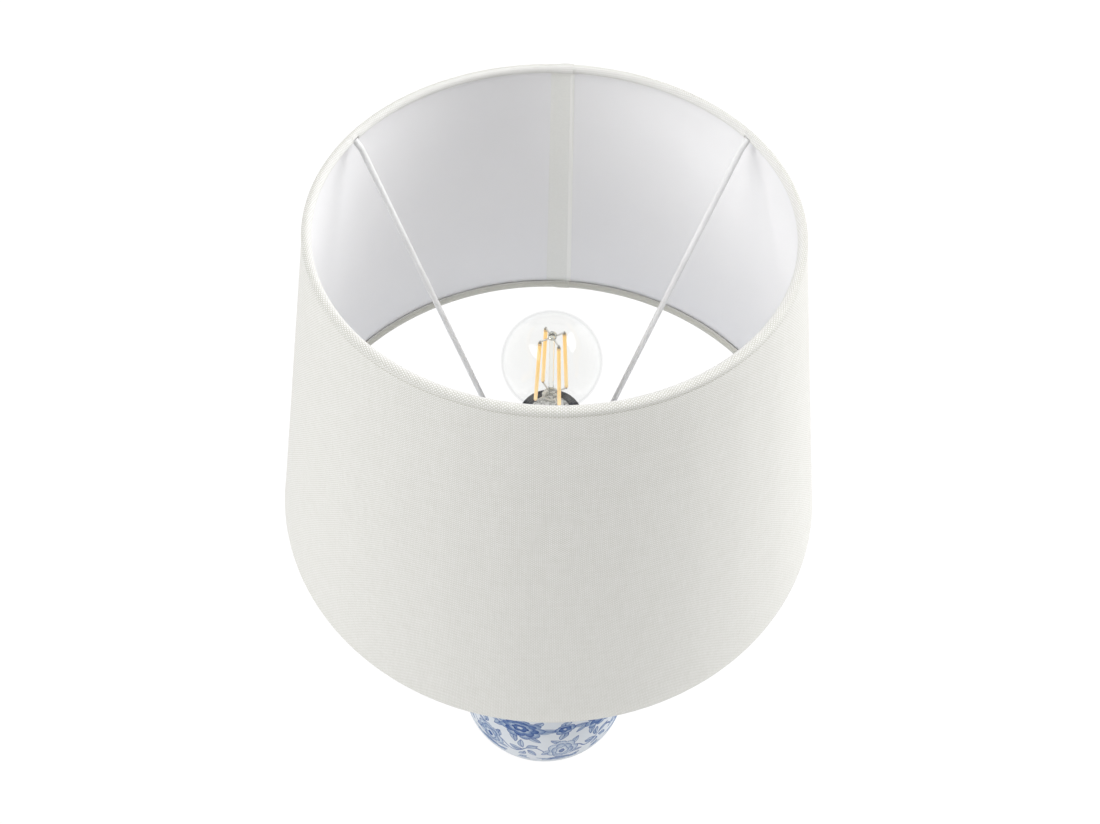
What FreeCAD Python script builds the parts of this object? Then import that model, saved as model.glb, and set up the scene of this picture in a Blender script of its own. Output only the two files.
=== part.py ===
import FreeCAD
import Part

import math
import os
import re

import Sketcher

# A table lamp on a ginger jar: a turned ceramic jar, a metal cap and neck, a lampholder with its bulb,
# and a tapered fabric shade hung from the lampholder on three wire arms.
# Millimetres, +Z up, origin at the centre of the felt pad's underside. The cable outlet faces +Y.

# Driving sizes, each written once. Lengths and radii in millimetres, angles in degrees.
SIZES = {
    # felt pad and jar
    "pad_thickness": 2.0,
    "pad_inset": 2.0,
    "foot_radius": 74.2,
    "foot_width": 9.0,
    "foot_round": 1.5,
    "foot_recess": 20.0,
    "jar_floor": 8.0,
    "jar_wall": 6.0,
    "belly_radius": 108.0,
    "belly_rise": 213.0,
    "belly_share": 0.2,
    "neck_radius": 42.0,
    "neck_rise": 14.0,
    "lip_round": 2.0,
    # cable outlet in the foot
    "outlet_bore": 3.25,
    "grommet_wall": 1.75,
    "grommet_flange": 2.0,
    "grommet_flange_depth": 1.5,
    "grommet_tail": 1.0,
    # hollow threaded rod and its fixings under the jar
    "rod_radius": 5.0,
    "rod_bore": 3.5,
    "rod_end_spare": 1.4,
    "rod_play": 0.3,
    "washer_radius": 17.0,
    "washer_inset": 1.0,
    "gasket_thickness": 1.5,
    "washer_thickness": 1.6,
    "nut_flats": 17.0,
    "nut_height": 6.0,
    # cap and neck
    "lip_gasket_thickness": 1.0,
    "cap_sheet": 1.2,
    "cap_play": 0.6,
    "cap_skirt": 6.0,
    "cap_brim": 5.0,
    "cap_dome": 12.0,
    "cap_top_radius": 13.0,
    "lower_collar_radius": 12.0,
    "lower_collar_height": 5.0,
    "collar_cove": 4.0,
    "tube_radius": 8.0,
    "tube_length": 38.0,
    "upper_collar_radius": 10.5,
    "upper_collar_height": 4.0,
    "collar_lip": 0.5,
    # lampholder
    "boss_radius": 9.0,
    "boss_height": 5.0,
    "boss_floor": 9.0,
    "rod_into_holder": 1.0,
    "wire_room": 5.0,
    "cap_funnel": 5.0,
    "bell_height": 10.0,
    "holder_radius": 18.5,
    "holder_wall": 2.0,
    "holder_cap_height": 20.0,
    "block_ledge": 2.5,
    "block_play": 0.2,
    "block_height": 12.0,
    "shelf_thickness": 2.0,
    "shelf_hole": 11.0,
    "shell_play": 0.3,
    "shell_wall": 2.2,
    "shell_above_bell": 0.5,
    "flange_radius": 24.5,
    "flange_thickness": 2.2,
    "flange_above_shelf": 3.6,
    "skirt_radius": 19.5,
    "skirt_rise": 31.0,
    "skirt_bevel": 0.8,
    "sleeve_radius": 13.4,
    "sleeve_sheet": 0.6,
    "sleeve_height": 29.0,
    "contact_sheet": 0.6,
    "contact_rise": 11.8,
    "contact_width": 5.0,
    "contact_foot": 9.0,
    "contact_knee": 4.0,
    "contact_lip": 3.0,
    "contact_slope": 3.4,
    "side_contact_width": 4.0,
    "side_contact_foot": 4.0,
    "side_contact_play": 0.5,
    "screw_radius": 1.5,
    "screw_length": 6.0,
    "screw_head": 2.6,
    "screw_head_height": 1.8,
    "screw_spread": 8.0,
    "grub_rise": 2.6,
    "grub_inset": 0.5,
    # shade carrier
    "fitter_bore": 21.0,
    "fitter_radius": 26.5,
    "fitter_thickness": 1.6,
    "seat_gap": 0.2,
    "ring_nut_play": 0.3,
    "ring_nut_radius": 26.0,
    "ring_nut_flange": 2.2,
    "ring_nut_sleeve": 2.8,
    "ring_nut_height": 7.0,
    "ring_nut_notch": 1.4,
    "notch_outset": 0.4,
    "arm_wire": 1.75,
    "arm_reach": 44.0,
    "arm_top_radius": 118.2,
    "arm_top_drop": 8.5,
    "arm_bend": 5.0,
    "first_arm": 32.2,
    # shade
    "shade_top_radius": 125.0,
    "shade_bottom_radius": 175.0,
    "shade_height": 230.0,
    "fitter_above_hem": 33.0,
    "fabric_thickness": 0.6,
    "liner_thickness": 0.5,
    "bond_gap": 0.1,
    "hem_wire": 1.5,
    "hem_wrap": 95.0,
    "liner_lap": 0.5,
    "notch_half_width": 2.35,
    "seam_width": 13.0,
    "seam_thickness": 0.3,
    "seam_gap": 0.3,
    "seam_azimuth": 89.3,
    # bulb
    "bulb_radius": 30.0,
    "bulb_length": 105.0,
    "bulb_glass_sheet": 0.8,
    "bulb_neck_radius": 13.2,
    "bulb_neck_rise": 3.5,
    "bulb_cap_radius": 13.1,
    "bulb_cap_sheet": 0.5,
    "bulb_cap_top": 25.5,
    "bulb_cap_low": 3.6,
    "bulb_cap_cone": 2.0,
    "insulator_inset": 2.6,
    "insulator_band": 1.0,
    "tip_flange": 0.5,
    "tip_gap": 0.3,
    "bulb_tip_radius": 4.8,
    "bulb_tip_height": 1.4,
    "stem_tube": 4.2,
    "stem_rod": 1.6,
    "stem_inset": 1.0,
    "stem_flare": 8.0,
    "stem_flare_arc": 9.0,
    "stem_shoulder": 4.0,
    "stem_taper": 7.0,
    "stem_pinch_rise": 44.0,
    "stem_top_rise": 97.0,
    "filament_radius": 1.1,
    "filament_foot_rise": 45.0,
    "filament_length": 50.0,
    "filament_foot_spread": 10.6,
    "filament_top_spread": 7.9,
    "first_filament": 29.0,
    "lead_wire": 0.35,
    # how far a cut starts outside what it cuts
    "cut_spare": 1.0,
}

ARMS = 3
FILAMENTS = 4
NUT_NOTCHES = 18

# Heights and radii that follow from the sizes, each a named expression.
PLACES = {
    "foot": "pad_thickness",
    "flank_foot": "foot + foot_round",
    "floor_under": "foot + foot_recess",
    "floor_top": "floor_under + jar_floor",
    "belly": "foot + belly_rise",
    "shoulder_arc": "belly_radius - neck_radius",
    "shoulder_top": "belly + shoulder_arc",
    "jar_top": "shoulder_top + neck_rise",
    "flank_turn": "2 * atan((belly_radius - foot_radius) / (belly - flank_foot))",
    "flank_sum": "(belly - flank_foot) / sin(flank_turn)",
    "flank_arc": "(1 - belly_share) * flank_sum",
    "belly_arc": "belly_share * flank_sum",
    "rod_hole": "rod_radius + rod_play",
    "outlet": "foot + foot_recess / 2",
    "outlet_hole": "outlet_bore + grommet_wall",
    "spot_radius": "outlet_hole + grommet_flange + rod_play",
    "spot_face": "foot_radius - grommet_flange_depth",
    "washer_top": "floor_under - gasket_thickness",
    "nut_top": "washer_top - washer_thickness",
    "rod_foot": "nut_top - nut_height - rod_end_spare",
    "cap_seat": "jar_top + lip_gasket_thickness",
    "cap_inner": "neck_radius + cap_play",
    "cap_dome_foot": "neck_radius - cap_brim",
    "cap_top": "cap_seat + cap_sheet + cap_dome",
    "tube_foot": "cap_top + lower_collar_height",
    "tube_top": "tube_foot + tube_length",
    "collar_band": "lower_collar_height / 3",
    "holder_foot": "tube_top + upper_collar_height",
    "rod_top": "holder_foot + boss_floor + rod_into_holder",
    "bell_top": "holder_foot + boss_height + bell_height",
    "holder_inner": "holder_radius - holder_wall",
    "holder_split": "holder_foot + holder_cap_height",
    "block_foot": "holder_foot + boss_floor + wire_room",
    "block_top": "block_foot + block_height",
    "block_radius": "holder_inner - block_play",
    "ledge_radius": "holder_inner - block_ledge",
    "shelf_under": "block_top + block_play",
    "shelf_top": "shelf_under + shelf_thickness",
    "flange_top": "shelf_top + flange_above_shelf",
    "shell_inner": "holder_radius + shell_play",
    "shell_outer": "shell_inner + shell_wall",
    "rim": "flange_top + skirt_rise",
    "sleeve_outer": "sleeve_radius + sleeve_sheet",
    "skirt_bore": "sleeve_outer + block_play",
    "side_contact_top": "shelf_top + bond_gap + contact_sheet",
    "sleeve_foot": "side_contact_top",
    "contact_top": "block_top + contact_rise",
    "side_contact_face": "shelf_hole - side_contact_play",
    "fitter_top": "flange_top + fitter_thickness",
    "arm_level": "flange_top + fitter_thickness / 2",
    "ring_nut_foot": "fitter_top + seat_gap",
    "ring_nut_bore": "skirt_radius + ring_nut_play",
    "shade_foot": "flange_top - fitter_above_hem",
    "shade_top": "shade_foot + shade_height",
    "tilt": "atan((shade_bottom_radius - shade_top_radius) / shade_height)",
    "bead": "hem_wire + liner_thickness + fabric_thickness + 2 * bond_gap",
    "bead_inner": "bead - fabric_thickness",
    "low_ring_radius": "shade_bottom_radius - bead * (1 + sin(tilt)) / cos(tilt)",
    "low_ring": "shade_foot + bead",
    "top_ring_radius": "shade_top_radius - bead * (1 - sin(tilt)) / cos(tilt)",
    "top_ring": "shade_top - bead",
    "arm_top": "shade_top - arm_top_drop",
    "arm_lean": "atan((arm_top - arm_level) / (arm_top_radius - arm_reach))",
    "arm_tip_lean": "atan((top_ring - arm_top) / (top_ring_radius - arm_top_radius))",
    "first_tangent": "arm_bend * tan(arm_lean / 2)",
    "second_tangent": "arm_bend * tan((arm_lean - arm_tip_lean) / 2)",
    "bulb_tip": "contact_top + tip_gap",
    "bulb_cap_rim": "bulb_tip + bulb_cap_top",
    "bulb_centre": "bulb_tip + bulb_length - bulb_radius",
    "bulb_neck_top": "bulb_cap_rim + bulb_neck_rise",
    "bulb_drop": "bulb_centre - bulb_neck_top",
    "bulb_neck_arc": "(bulb_neck_radius^2 + bulb_drop^2 - bulb_radius^2) / 2"
    " / (bulb_radius - bulb_neck_radius)",
    "bulb_lean": "atan(bulb_drop / (bulb_neck_radius + bulb_neck_arc))",
    "stem_foot": "bulb_cap_rim + stem_inset",
    "stem_pinch": "bulb_tip + stem_pinch_rise",
    "stem_top": "bulb_tip + stem_top_rise",
    "filament_foot": "bulb_tip + filament_foot_rise",
    "filament_top": "filament_foot + filament_length",
}

doc = FreeCAD.newDocument("GingerJarLamp")
sheet = doc.addObject("Spreadsheet::Sheet", "Dims")
for row, (name, size) in enumerate(SIZES.items(), start=1):
    sheet.set(f"A{row}", name)
    sheet.set(f"B{row}", str(size))
    sheet.setAlias(f"B{row}", name)
doc.recompute()

PIECES = []


def spelled(text):
    """The expression with each named place written out and each size pointed at its cell."""

    def word(found):
        name = found.group(0)
        if name in PLACES:
            return "(" + spelled(PLACES[name]) + ")"
        return "Dims." + name if name in SIZES else name

    return re.sub(r"[a-z]+(?:_[a-z]+)*", word, text)


def worth(text):
    found = sheet.evalExpression(spelled(text))
    return float(getattr(found, "Value", found))


def bind(thing, prop, text):
    thing.setExpression(prop, spelled(text))


def new_body(label):
    body = doc.addObject("PartDesign::Body", label)
    body.Label = label
    PIECES.append(body)
    return body


def new_sketch(body, name, role, offset=None):
    """A sketch on one of the body's own origin planes, lifted along its normal by an expression."""
    sketch = body.newObject("Sketcher::SketchObject", body.Label + "_" + name)
    plane = [f for f in body.Origin.OriginFeatures if f.Role == role][0]
    sketch.AttachmentSupport = [(plane, "")]
    sketch.MapMode = "FlatFace"
    if offset is not None:
        bind(sketch, "AttachmentOffset.Base.z", offset)
    return sketch


def pin(sketch, geometry, point, x, y):
    """Hold a point of the sketch at two expressions."""
    for kind, axis, text in (("DistanceX", -2, x), ("DistanceY", -1, y)):
        if abs(worth(text)) < 1e-9:
            sketch.addConstraint(Sketcher.Constraint("PointOnObject", geometry, point, axis))
            continue
        datum = Sketcher.Constraint(kind, -1, 1, geometry, point, worth(text))
        index = sketch.addConstraint(datum)
        bind(sketch, f"Constraints[{index}]", text)


def arc_between(start, end, radius, turn):
    """The shorter arc from start to end, turning left for 1 and right for -1."""
    chord = end - start
    height = math.sqrt(max(radius**2 - (chord.Length / 2) ** 2, 0))
    side = FreeCAD.Vector(-chord.y, chord.x, 0).normalize() * turn
    centre = (start + end) / 2 + side * height
    first, last = (start, end) if turn > 0 else (end, start)
    low = math.atan2(first.y - centre.y, first.x - centre.x)
    high = math.atan2(last.y - centre.y, last.x - centre.x)
    if high < low:
        high += 2 * math.pi
    circle = Part.Circle(centre, FreeCAD.Vector(0, 0, 1), radius)
    return Part.ArcOfCircle(circle, low, high)


def draw(sketch, outline, closed=True):
    """Lines and arcs through the outline's points.

    A point is (x, y), reached by a line, or (x, y, radius, turn), reached by an arc.
    """
    spots = [FreeCAD.Vector(worth(p[0]), worth(p[1]), 0) for p in outline]
    ends = []
    steps = range(len(outline)) if closed else range(1, len(outline))
    for step in steps:
        start, end, point = spots[step - 1], spots[step], outline[step]
        if len(point) == 2:
            ends.append((sketch.addGeometry(Part.LineSegment(start, end)), 1, 2))
            continue
        index = sketch.addGeometry(arc_between(start, end, worth(point[2]), point[3]))
        ends.append((index, 1, 2) if point[3] > 0 else (index, 2, 1))
        radius = sketch.addConstraint(Sketcher.Constraint("Radius", index, worth(point[2])))
        bind(sketch, f"Constraints[{radius}]", point[2])
    for (before, _, tail), (after, head, _) in zip(ends, ends[1:]):
        sketch.addConstraint(Sketcher.Constraint("Coincident", before, tail, after, head))
    if closed:
        (before, _, tail), (after, head, _) = ends[-1], ends[0]
        sketch.addConstraint(Sketcher.Constraint("Coincident", before, tail, after, head))
    else:
        pin(sketch, ends[0][0], ends[0][1], *outline[0][:2])
    for (index, _, tail), step in zip(ends, steps):
        pin(sketch, index, tail, *outline[step][:2])
    return sketch


def draw_circle(sketch, radius, x="0", y="0"):
    centre = FreeCAD.Vector(worth(x), worth(y), 0)
    circle = Part.Circle(centre, FreeCAD.Vector(0, 0, 1), worth(radius))
    index = sketch.addGeometry(circle)
    datum = sketch.addConstraint(Sketcher.Constraint("Radius", index, worth(radius)))
    bind(sketch, f"Constraints[{datum}]", radius)
    pin(sketch, index, 3, x, y)


def turned(body, outline, name="profile", role="XZ_Plane", axis="V_Axis"):
    """A solid of revolution from a closed half section."""
    sketch = draw(new_sketch(body, name, role), outline)
    feature = body.newObject("PartDesign::Revolution", body.Label + "_turned")
    feature.Profile = sketch
    feature.ReferenceAxis = (sketch, [axis])
    feature.Angle = 360
    return feature


def padded(body, sketch, height, name="pad"):
    feature = body.newObject("PartDesign::Pad", body.Label + "_" + name)
    feature.Profile = sketch
    bind(feature, "Length", height)
    return feature


def pocketed(body, sketch, depth, name, reverse=False):
    """A pocket that must take material away."""
    doc.recompute()
    before = body.Shape.Volume
    feature = body.newObject("PartDesign::Pocket", body.Label + "_" + name)
    feature.Profile = sketch
    feature.Reversed = reverse
    bind(feature, "Length", depth)
    doc.recompute()
    if body.Shape.Volume > before - 0.01:
        raise RuntimeError(f"{feature.Label} cuts nothing")
    return feature


def patterned(body, original, sketch, copies, name="pattern"):
    """The feature repeated round the sketch's normal through its origin."""
    pattern = body.newObject("PartDesign::PolarPattern", body.Label + "_" + name)
    pattern.Originals = [original]
    pattern.Axis = (sketch, ["N_Axis"])
    pattern.Angle = 360
    pattern.Occurrences = copies
    body.Tip = pattern
    return pattern


def ring(label, inner, outer, low, height):
    """A flat ring, such as a washer."""
    body = new_body(label)
    sketch = new_sketch(body, "section", "XY_Plane", low)
    draw_circle(sketch, outer)
    if inner:
        draw_circle(sketch, inner)
    padded(body, sketch, height)
    return body


def turn_about(body, angle):
    """Stand a body at an angle round the lamp's axis."""
    body.Placement = FreeCAD.Placement(
        FreeCAD.Vector(), FreeCAD.Rotation(FreeCAD.Vector(0, 0, 1), worth(angle))
    )
    bind(body, "Placement.Rotation.Angle", angle)


# Felt pad under the foot

ring("base_pad", None, "foot_radius - pad_inset", "0", "pad_thickness")

# Ceramic jar, with a recess under its floor and a hole for the cable in the foot

jar = new_body("jar_body")
turned(
    jar,
    [
        ("foot_radius - foot_width", "foot"),
        ("foot_radius - foot_round", "foot"),
        ("foot_radius", "flank_foot", "foot_round", 1),
        (
            "foot_radius + flank_arc * (1 - cos(flank_turn))",
            "flank_foot + flank_arc * sin(flank_turn)",
            "flank_arc",
            -1,
        ),
        ("belly_radius", "belly", "belly_arc", 1),
        ("neck_radius", "shoulder_top", "shoulder_arc", 1),
        ("neck_radius", "jar_top - lip_round"),
        ("neck_radius - lip_round", "jar_top", "lip_round", 1),
        ("neck_radius - jar_wall + lip_round", "jar_top"),
        ("neck_radius - jar_wall", "jar_top - lip_round", "lip_round", 1),
        ("neck_radius - jar_wall", "shoulder_top - jar_wall"),
        ("neck_radius", "shoulder_top - jar_wall"),
        ("belly_radius - jar_wall", "belly", "shoulder_arc - jar_wall", -1),
        (
            "foot_radius + flank_arc - (flank_arc + jar_wall) * cos(flank_turn)",
            "flank_foot + (flank_arc + jar_wall) * sin(flank_turn)",
            "belly_arc - jar_wall",
            -1,
        ),
        (
            "foot_radius + flank_arc - sqrt((flank_arc + jar_wall)^2 - (floor_top - flank_foot)^2)",
            "floor_top",
            "flank_arc + jar_wall",
            1,
        ),
        ("rod_hole", "floor_top"),
        ("rod_hole", "floor_under"),
        ("foot_radius - foot_width", "floor_under"),
    ],
)
hole = new_sketch(jar, "outlet", "XZ_Plane", "-(foot_radius + cut_spare)")
draw_circle(hole, "outlet_hole", "0", "outlet")
pocketed(jar, hole, "foot_width + grommet_tail + 2 * cut_spare", "outlet_hole", True)
spot = new_sketch(jar, "spot", "XZ_Plane", "-(foot_radius + cut_spare)")
draw_circle(spot, "spot_radius", "0", "outlet")
pocketed(jar, spot, "grommet_flange_depth + cut_spare", "spot_face", True)

# Rubber grommet that lines the cable outlet, turned about its own axis along Y

grommet = new_body("cable_grommet")
turned(
    grommet,
    [
        ("outlet_bore", "foot_radius - foot_width - grommet_tail"),
        ("outlet_hole - bond_gap", "foot_radius - foot_width - grommet_tail"),
        ("outlet_hole - bond_gap", "spot_face"),
        ("outlet_hole + grommet_flange", "spot_face"),
        ("outlet_hole + grommet_flange", "foot_radius"),
        ("outlet_bore", "foot_radius"),
    ],
    role="XY_Plane",
)
bind(grommet, "Placement.Base.z", "outlet")

# Hollow rod through the whole lamp, and what draws it tight under the jar

ring("threaded_rod", "rod_bore", "rod_radius", "rod_foot", "rod_top - rod_foot")
ring("base_gasket", "rod_hole", "washer_radius", "washer_top", "gasket_thickness")
ring("base_washer", "rod_hole", "washer_radius - washer_inset", "nut_top", "washer_thickness")

nut = new_body("base_nut")
hexagon = new_sketch(nut, "hexagon", "XY_Plane", "nut_top - nut_height")
corners = [60 * k for k in range(6)]
draw(
    hexagon,
    [(f"nut_flats / 2 / cos(30) * cos({a})", f"nut_flats / 2 / cos(30) * sin({a})") for a in corners],
)
draw_circle(hexagon, "rod_radius + bond_gap")
padded(nut, hexagon, "nut_height")

# Cap on the jar's lip, and the turned neck above it

ring(
    "neck_gasket",
    "neck_radius - jar_wall + lip_round",
    "neck_radius - lip_round",
    "jar_top",
    "lip_gasket_thickness",
)

dome = "2 * atan(cap_dome / (cap_dome_foot - cap_top_radius))"
dome_arc = f"((cap_dome_foot - cap_top_radius) / 2 / sin({dome}))"
dome_mid = "(cap_dome_foot + cap_top_radius) / 2"
neck_cap = new_body("neck_cap")
turned(
    neck_cap,
    [
        ("cap_inner", "cap_seat - cap_skirt"),
        ("cap_inner + cap_sheet", "cap_seat - cap_skirt"),
        ("cap_inner + cap_sheet", "cap_seat"),
        ("cap_inner", "cap_seat + cap_sheet", "cap_sheet", 1),
        ("cap_dome_foot", "cap_seat + cap_sheet"),
        (dome_mid, "cap_seat + cap_sheet + cap_dome / 2", dome_arc, -1),
        ("cap_top_radius", "cap_top", dome_arc, 1),
        ("rod_hole", "cap_top"),
        ("rod_hole", "cap_top - cap_sheet"),
        ("cap_top_radius", "cap_top - cap_sheet"),
        (dome_mid, "cap_seat + cap_dome / 2", dome_arc, -1),
        ("cap_dome_foot", "cap_seat", dome_arc, 1),
        ("cap_inner", "cap_seat"),
    ],
)

lower_collar = new_body("lower_collar")
turned(
    lower_collar,
    [
        ("rod_hole", "cap_top"),
        ("lower_collar_radius", "cap_top"),
        ("lower_collar_radius", "cap_top + collar_band"),
        ("tube_radius + collar_lip", "tube_foot", "collar_cove", -1),
        ("rod_hole", "tube_foot"),
    ],
)
ring("neck_tube", "rod_hole", "tube_radius", "tube_foot", "tube_length")

upper_collar = new_body("upper_collar")
turned(
    upper_collar,
    [
        ("rod_hole", "tube_top"),
        ("tube_radius + collar_lip", "tube_top"),
        ("upper_collar_radius", "tube_top + upper_collar_height / 2", "upper_collar_height", -1),
        ("upper_collar_radius", "holder_foot"),
        ("rod_hole", "holder_foot"),
    ],
)

# Lampholder: the lower cap, its locking screw, the contact block and the threaded shell

bell = "2 * atan((holder_radius - boss_radius) / bell_height)"
bell_arc = f"(bell_height / 2 / sin({bell}))"
holder_cap = new_body("holder_cap")
turned(
    holder_cap,
    [
        ("rod_radius + bond_gap", "holder_foot"),
        ("boss_radius", "holder_foot"),
        ("boss_radius", "holder_foot + boss_height"),
        ("(boss_radius + holder_radius) / 2", "holder_foot + boss_height + bell_height / 2", bell_arc, -1),
        ("holder_radius", "bell_top", bell_arc, 1),
        ("holder_radius", "holder_split"),
        ("holder_inner", "holder_split"),
        ("holder_inner", "block_foot"),
        ("ledge_radius", "block_foot"),
        ("ledge_radius - cap_funnel", "holder_foot + boss_floor"),
        ("rod_radius + bond_gap", "holder_foot + boss_floor"),
    ],
)
tap = new_sketch(holder_cap, "tap", "YZ_Plane", "rod_radius - cut_spare")
draw_circle(tap, "screw_radius + bond_gap", "0", "holder_foot + grub_rise")
pocketed(holder_cap, tap, "boss_radius", "tap", True)

grub = new_body("holder_grub_screw")
bar = new_sketch(grub, "bar", "YZ_Plane", "rod_radius + bond_gap")
draw_circle(bar, "screw_radius", "0", "holder_foot + grub_rise")
padded(grub, bar, "boss_radius - rod_radius - grub_inset")

block = new_body("contact_block")
base = new_sketch(block, "base", "XY_Plane", "block_foot")
draw_circle(base, "block_radius")
draw_circle(base, "rod_bore")
padded(block, base, "block_height")
for side, sign in (("left", "-"), ("right", "")):
    drill = new_sketch(block, side + "_terminal", "XY_Plane", "block_foot")
    draw_circle(drill, "screw_radius + bond_gap", "0", sign + "screw_spread")
    pocketed(block, drill, "screw_length + cut_spare", side + "_terminal_hole", True)

SCREW = [
    ("0", "block_foot - screw_head_height"),
    ("screw_head", "block_foot - screw_head_height"),
    ("screw_head", "block_foot"),
    ("screw_radius", "block_foot"),
    ("screw_radius", "block_foot + screw_length"),
    ("0", "block_foot + screw_length"),
]
for number, sign in ((1, "-"), (2, "")):
    screw = new_body(f"terminal_screw_{number}")
    turned(screw, SCREW)
    bind(screw, "Placement.Base.y", sign + "screw_spread")

# Sprung strips that meet the bulb's centre and side contacts

centre_contact = new_body("centre_contact")
strip = new_sketch(centre_contact, "strip", "XZ_Plane", "-contact_width / 2")
draw(
    strip,
    [
        ("-contact_foot", "block_top"),
        ("-contact_knee", "block_top"),
        ("-contact_knee + contact_slope", "contact_top - contact_sheet"),
        ("contact_lip", "contact_top - contact_sheet"),
        ("contact_lip", "contact_top"),
        ("-contact_knee - contact_sheet + contact_slope", "contact_top"),
        ("-contact_knee - contact_sheet", "block_top + contact_sheet"),
        ("-contact_foot", "block_top + contact_sheet"),
    ],
)
padded(centre_contact, strip, "contact_width")

side_contact = new_body("side_contact")
strip = new_sketch(side_contact, "strip", "XZ_Plane", "-side_contact_width / 2")
draw(
    strip,
    [
        ("shelf_hole - side_contact_foot", "block_top"),
        ("side_contact_face", "block_top"),
        ("side_contact_face", "side_contact_top - contact_sheet"),
        ("sleeve_outer", "side_contact_top - contact_sheet"),
        ("sleeve_outer", "side_contact_top"),
        ("side_contact_face - contact_sheet", "side_contact_top"),
        ("side_contact_face - contact_sheet", "block_top + contact_sheet"),
        ("shelf_hole - side_contact_foot", "block_top + contact_sheet"),
    ],
)
padded(side_contact, strip, "side_contact_width")

shell = new_body("holder_shell")
turned(
    shell,
    [
        ("shell_inner", "bell_top + shell_above_bell"),
        ("shell_outer", "bell_top + shell_above_bell"),
        ("shell_outer", "flange_top - flange_thickness"),
        ("flange_radius", "flange_top - flange_thickness"),
        ("flange_radius", "flange_top"),
        ("skirt_radius", "flange_top"),
        ("skirt_radius", "rim - skirt_bevel"),
        ("skirt_radius - skirt_bevel", "rim"),
        ("skirt_bore", "rim"),
        ("skirt_bore", "shelf_top"),
        ("shelf_hole", "shelf_top"),
        ("shelf_hole", "shelf_under"),
        ("block_radius + bond_gap", "shelf_under"),
        ("block_radius + bond_gap", "holder_split + bond_gap"),
        ("shell_inner", "holder_split + bond_gap"),
    ],
)
ring("screw_sleeve", "sleeve_radius", "sleeve_outer", "sleeve_foot", "sleeve_height")

# Ring nut that clamps the shade to the lampholder's flange

ring_nut = new_body("shade_ring_nut")
turned(
    ring_nut,
    [
        ("ring_nut_bore", "ring_nut_foot"),
        ("ring_nut_radius", "ring_nut_foot"),
        ("ring_nut_radius", "ring_nut_foot + ring_nut_flange"),
        ("ring_nut_bore + ring_nut_sleeve", "ring_nut_foot + ring_nut_flange"),
        ("ring_nut_bore + ring_nut_sleeve", "ring_nut_foot + ring_nut_height"),
        ("ring_nut_bore", "ring_nut_foot + ring_nut_height"),
    ],
)
notch = new_sketch(ring_nut, "notch", "XY_Plane", "ring_nut_foot")
draw_circle(notch, "ring_nut_notch", "ring_nut_radius + notch_outset", "0")
cut = pocketed(ring_nut, notch, "ring_nut_flange", "grip", True)
patterned(ring_nut, cut, notch, NUT_NOTCHES)

# Shade carrier: the fitter ring on the flange and the arms up to the top ring

ring("fitter_ring", "fitter_bore", "fitter_radius", "flange_top", "fitter_thickness")

for number in range(ARMS):
    arm = new_body(f"shade_arm_{number + 1}")
    spine = new_sketch(arm, "spine", "XZ_Plane")
    draw(
        spine,
        [
            ("fitter_radius", "arm_level"),
            ("arm_reach - first_tangent", "arm_level"),
            (
                "arm_reach + first_tangent * cos(arm_lean)",
                "arm_level + first_tangent * sin(arm_lean)",
                "arm_bend",
                1,
            ),
            (
                "arm_top_radius - second_tangent * cos(arm_lean)",
                "arm_top - second_tangent * sin(arm_lean)",
            ),
            (
                "arm_top_radius + second_tangent * cos(arm_tip_lean)",
                "arm_top + second_tangent * sin(arm_tip_lean)",
                "arm_bend",
                -1,
            ),
            (
                "top_ring_radius - hem_wire * cos(arm_tip_lean)",
                "top_ring - hem_wire * sin(arm_tip_lean)",
            ),
        ],
        closed=False,
    )
    section = new_sketch(arm, "section", "YZ_Plane", "fitter_radius")
    draw_circle(section, "arm_wire", "0", "arm_level")
    pipe = arm.newObject("PartDesign::AdditivePipe", arm.Label + "_wire")
    pipe.Profile = section
    pipe.Spine = spine
    turn_about(arm, f"first_arm + {number} * 360 / {ARMS}")

# Wire rings in the two hems

for label, level, radius in (
    ("shade_top_ring", "top_ring", "top_ring_radius"),
    ("shade_bottom_ring", "low_ring", "low_ring_radius"),
):
    hoop = doc.addObject("Part::Torus", label)
    hoop.Label = label
    bind(hoop, "Radius1", radius)
    bind(hoop, "Radius2", "hem_wire")
    bind(hoop, "Placement.Base.z", level)
    PIECES.append(hoop)


def round_ring(radius, level, reach, angle):
    """A point at reach from a ring's centre, its angle counted from the shade wall's outward normal."""
    return (
        f"{radius} + ({reach}) * cos(tilt + ({angle}) * 1 deg)",
        f"{level} + ({reach}) * sin(tilt + ({angle}) * 1 deg)",
    )


def beside_ring(radius, level, aside, along):
    """A point aside from a ring's centre along the wall's normal, and along it up the wall."""
    return (
        f"{radius} + ({aside}) * cos(tilt) - ({along}) * sin(tilt)",
        f"{level} + ({aside}) * sin(tilt) + ({along}) * cos(tilt)",
    )


TOP = ("top_ring_radius", "top_ring")
LOW = ("low_ring_radius", "low_ring")
WRAP = "180 + hem_wrap"
HALF_WRAP = "(180 + hem_wrap) / 2"

# Outer fabric, wrapped over both rings and tucked behind them, slit where each arm passes

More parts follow.
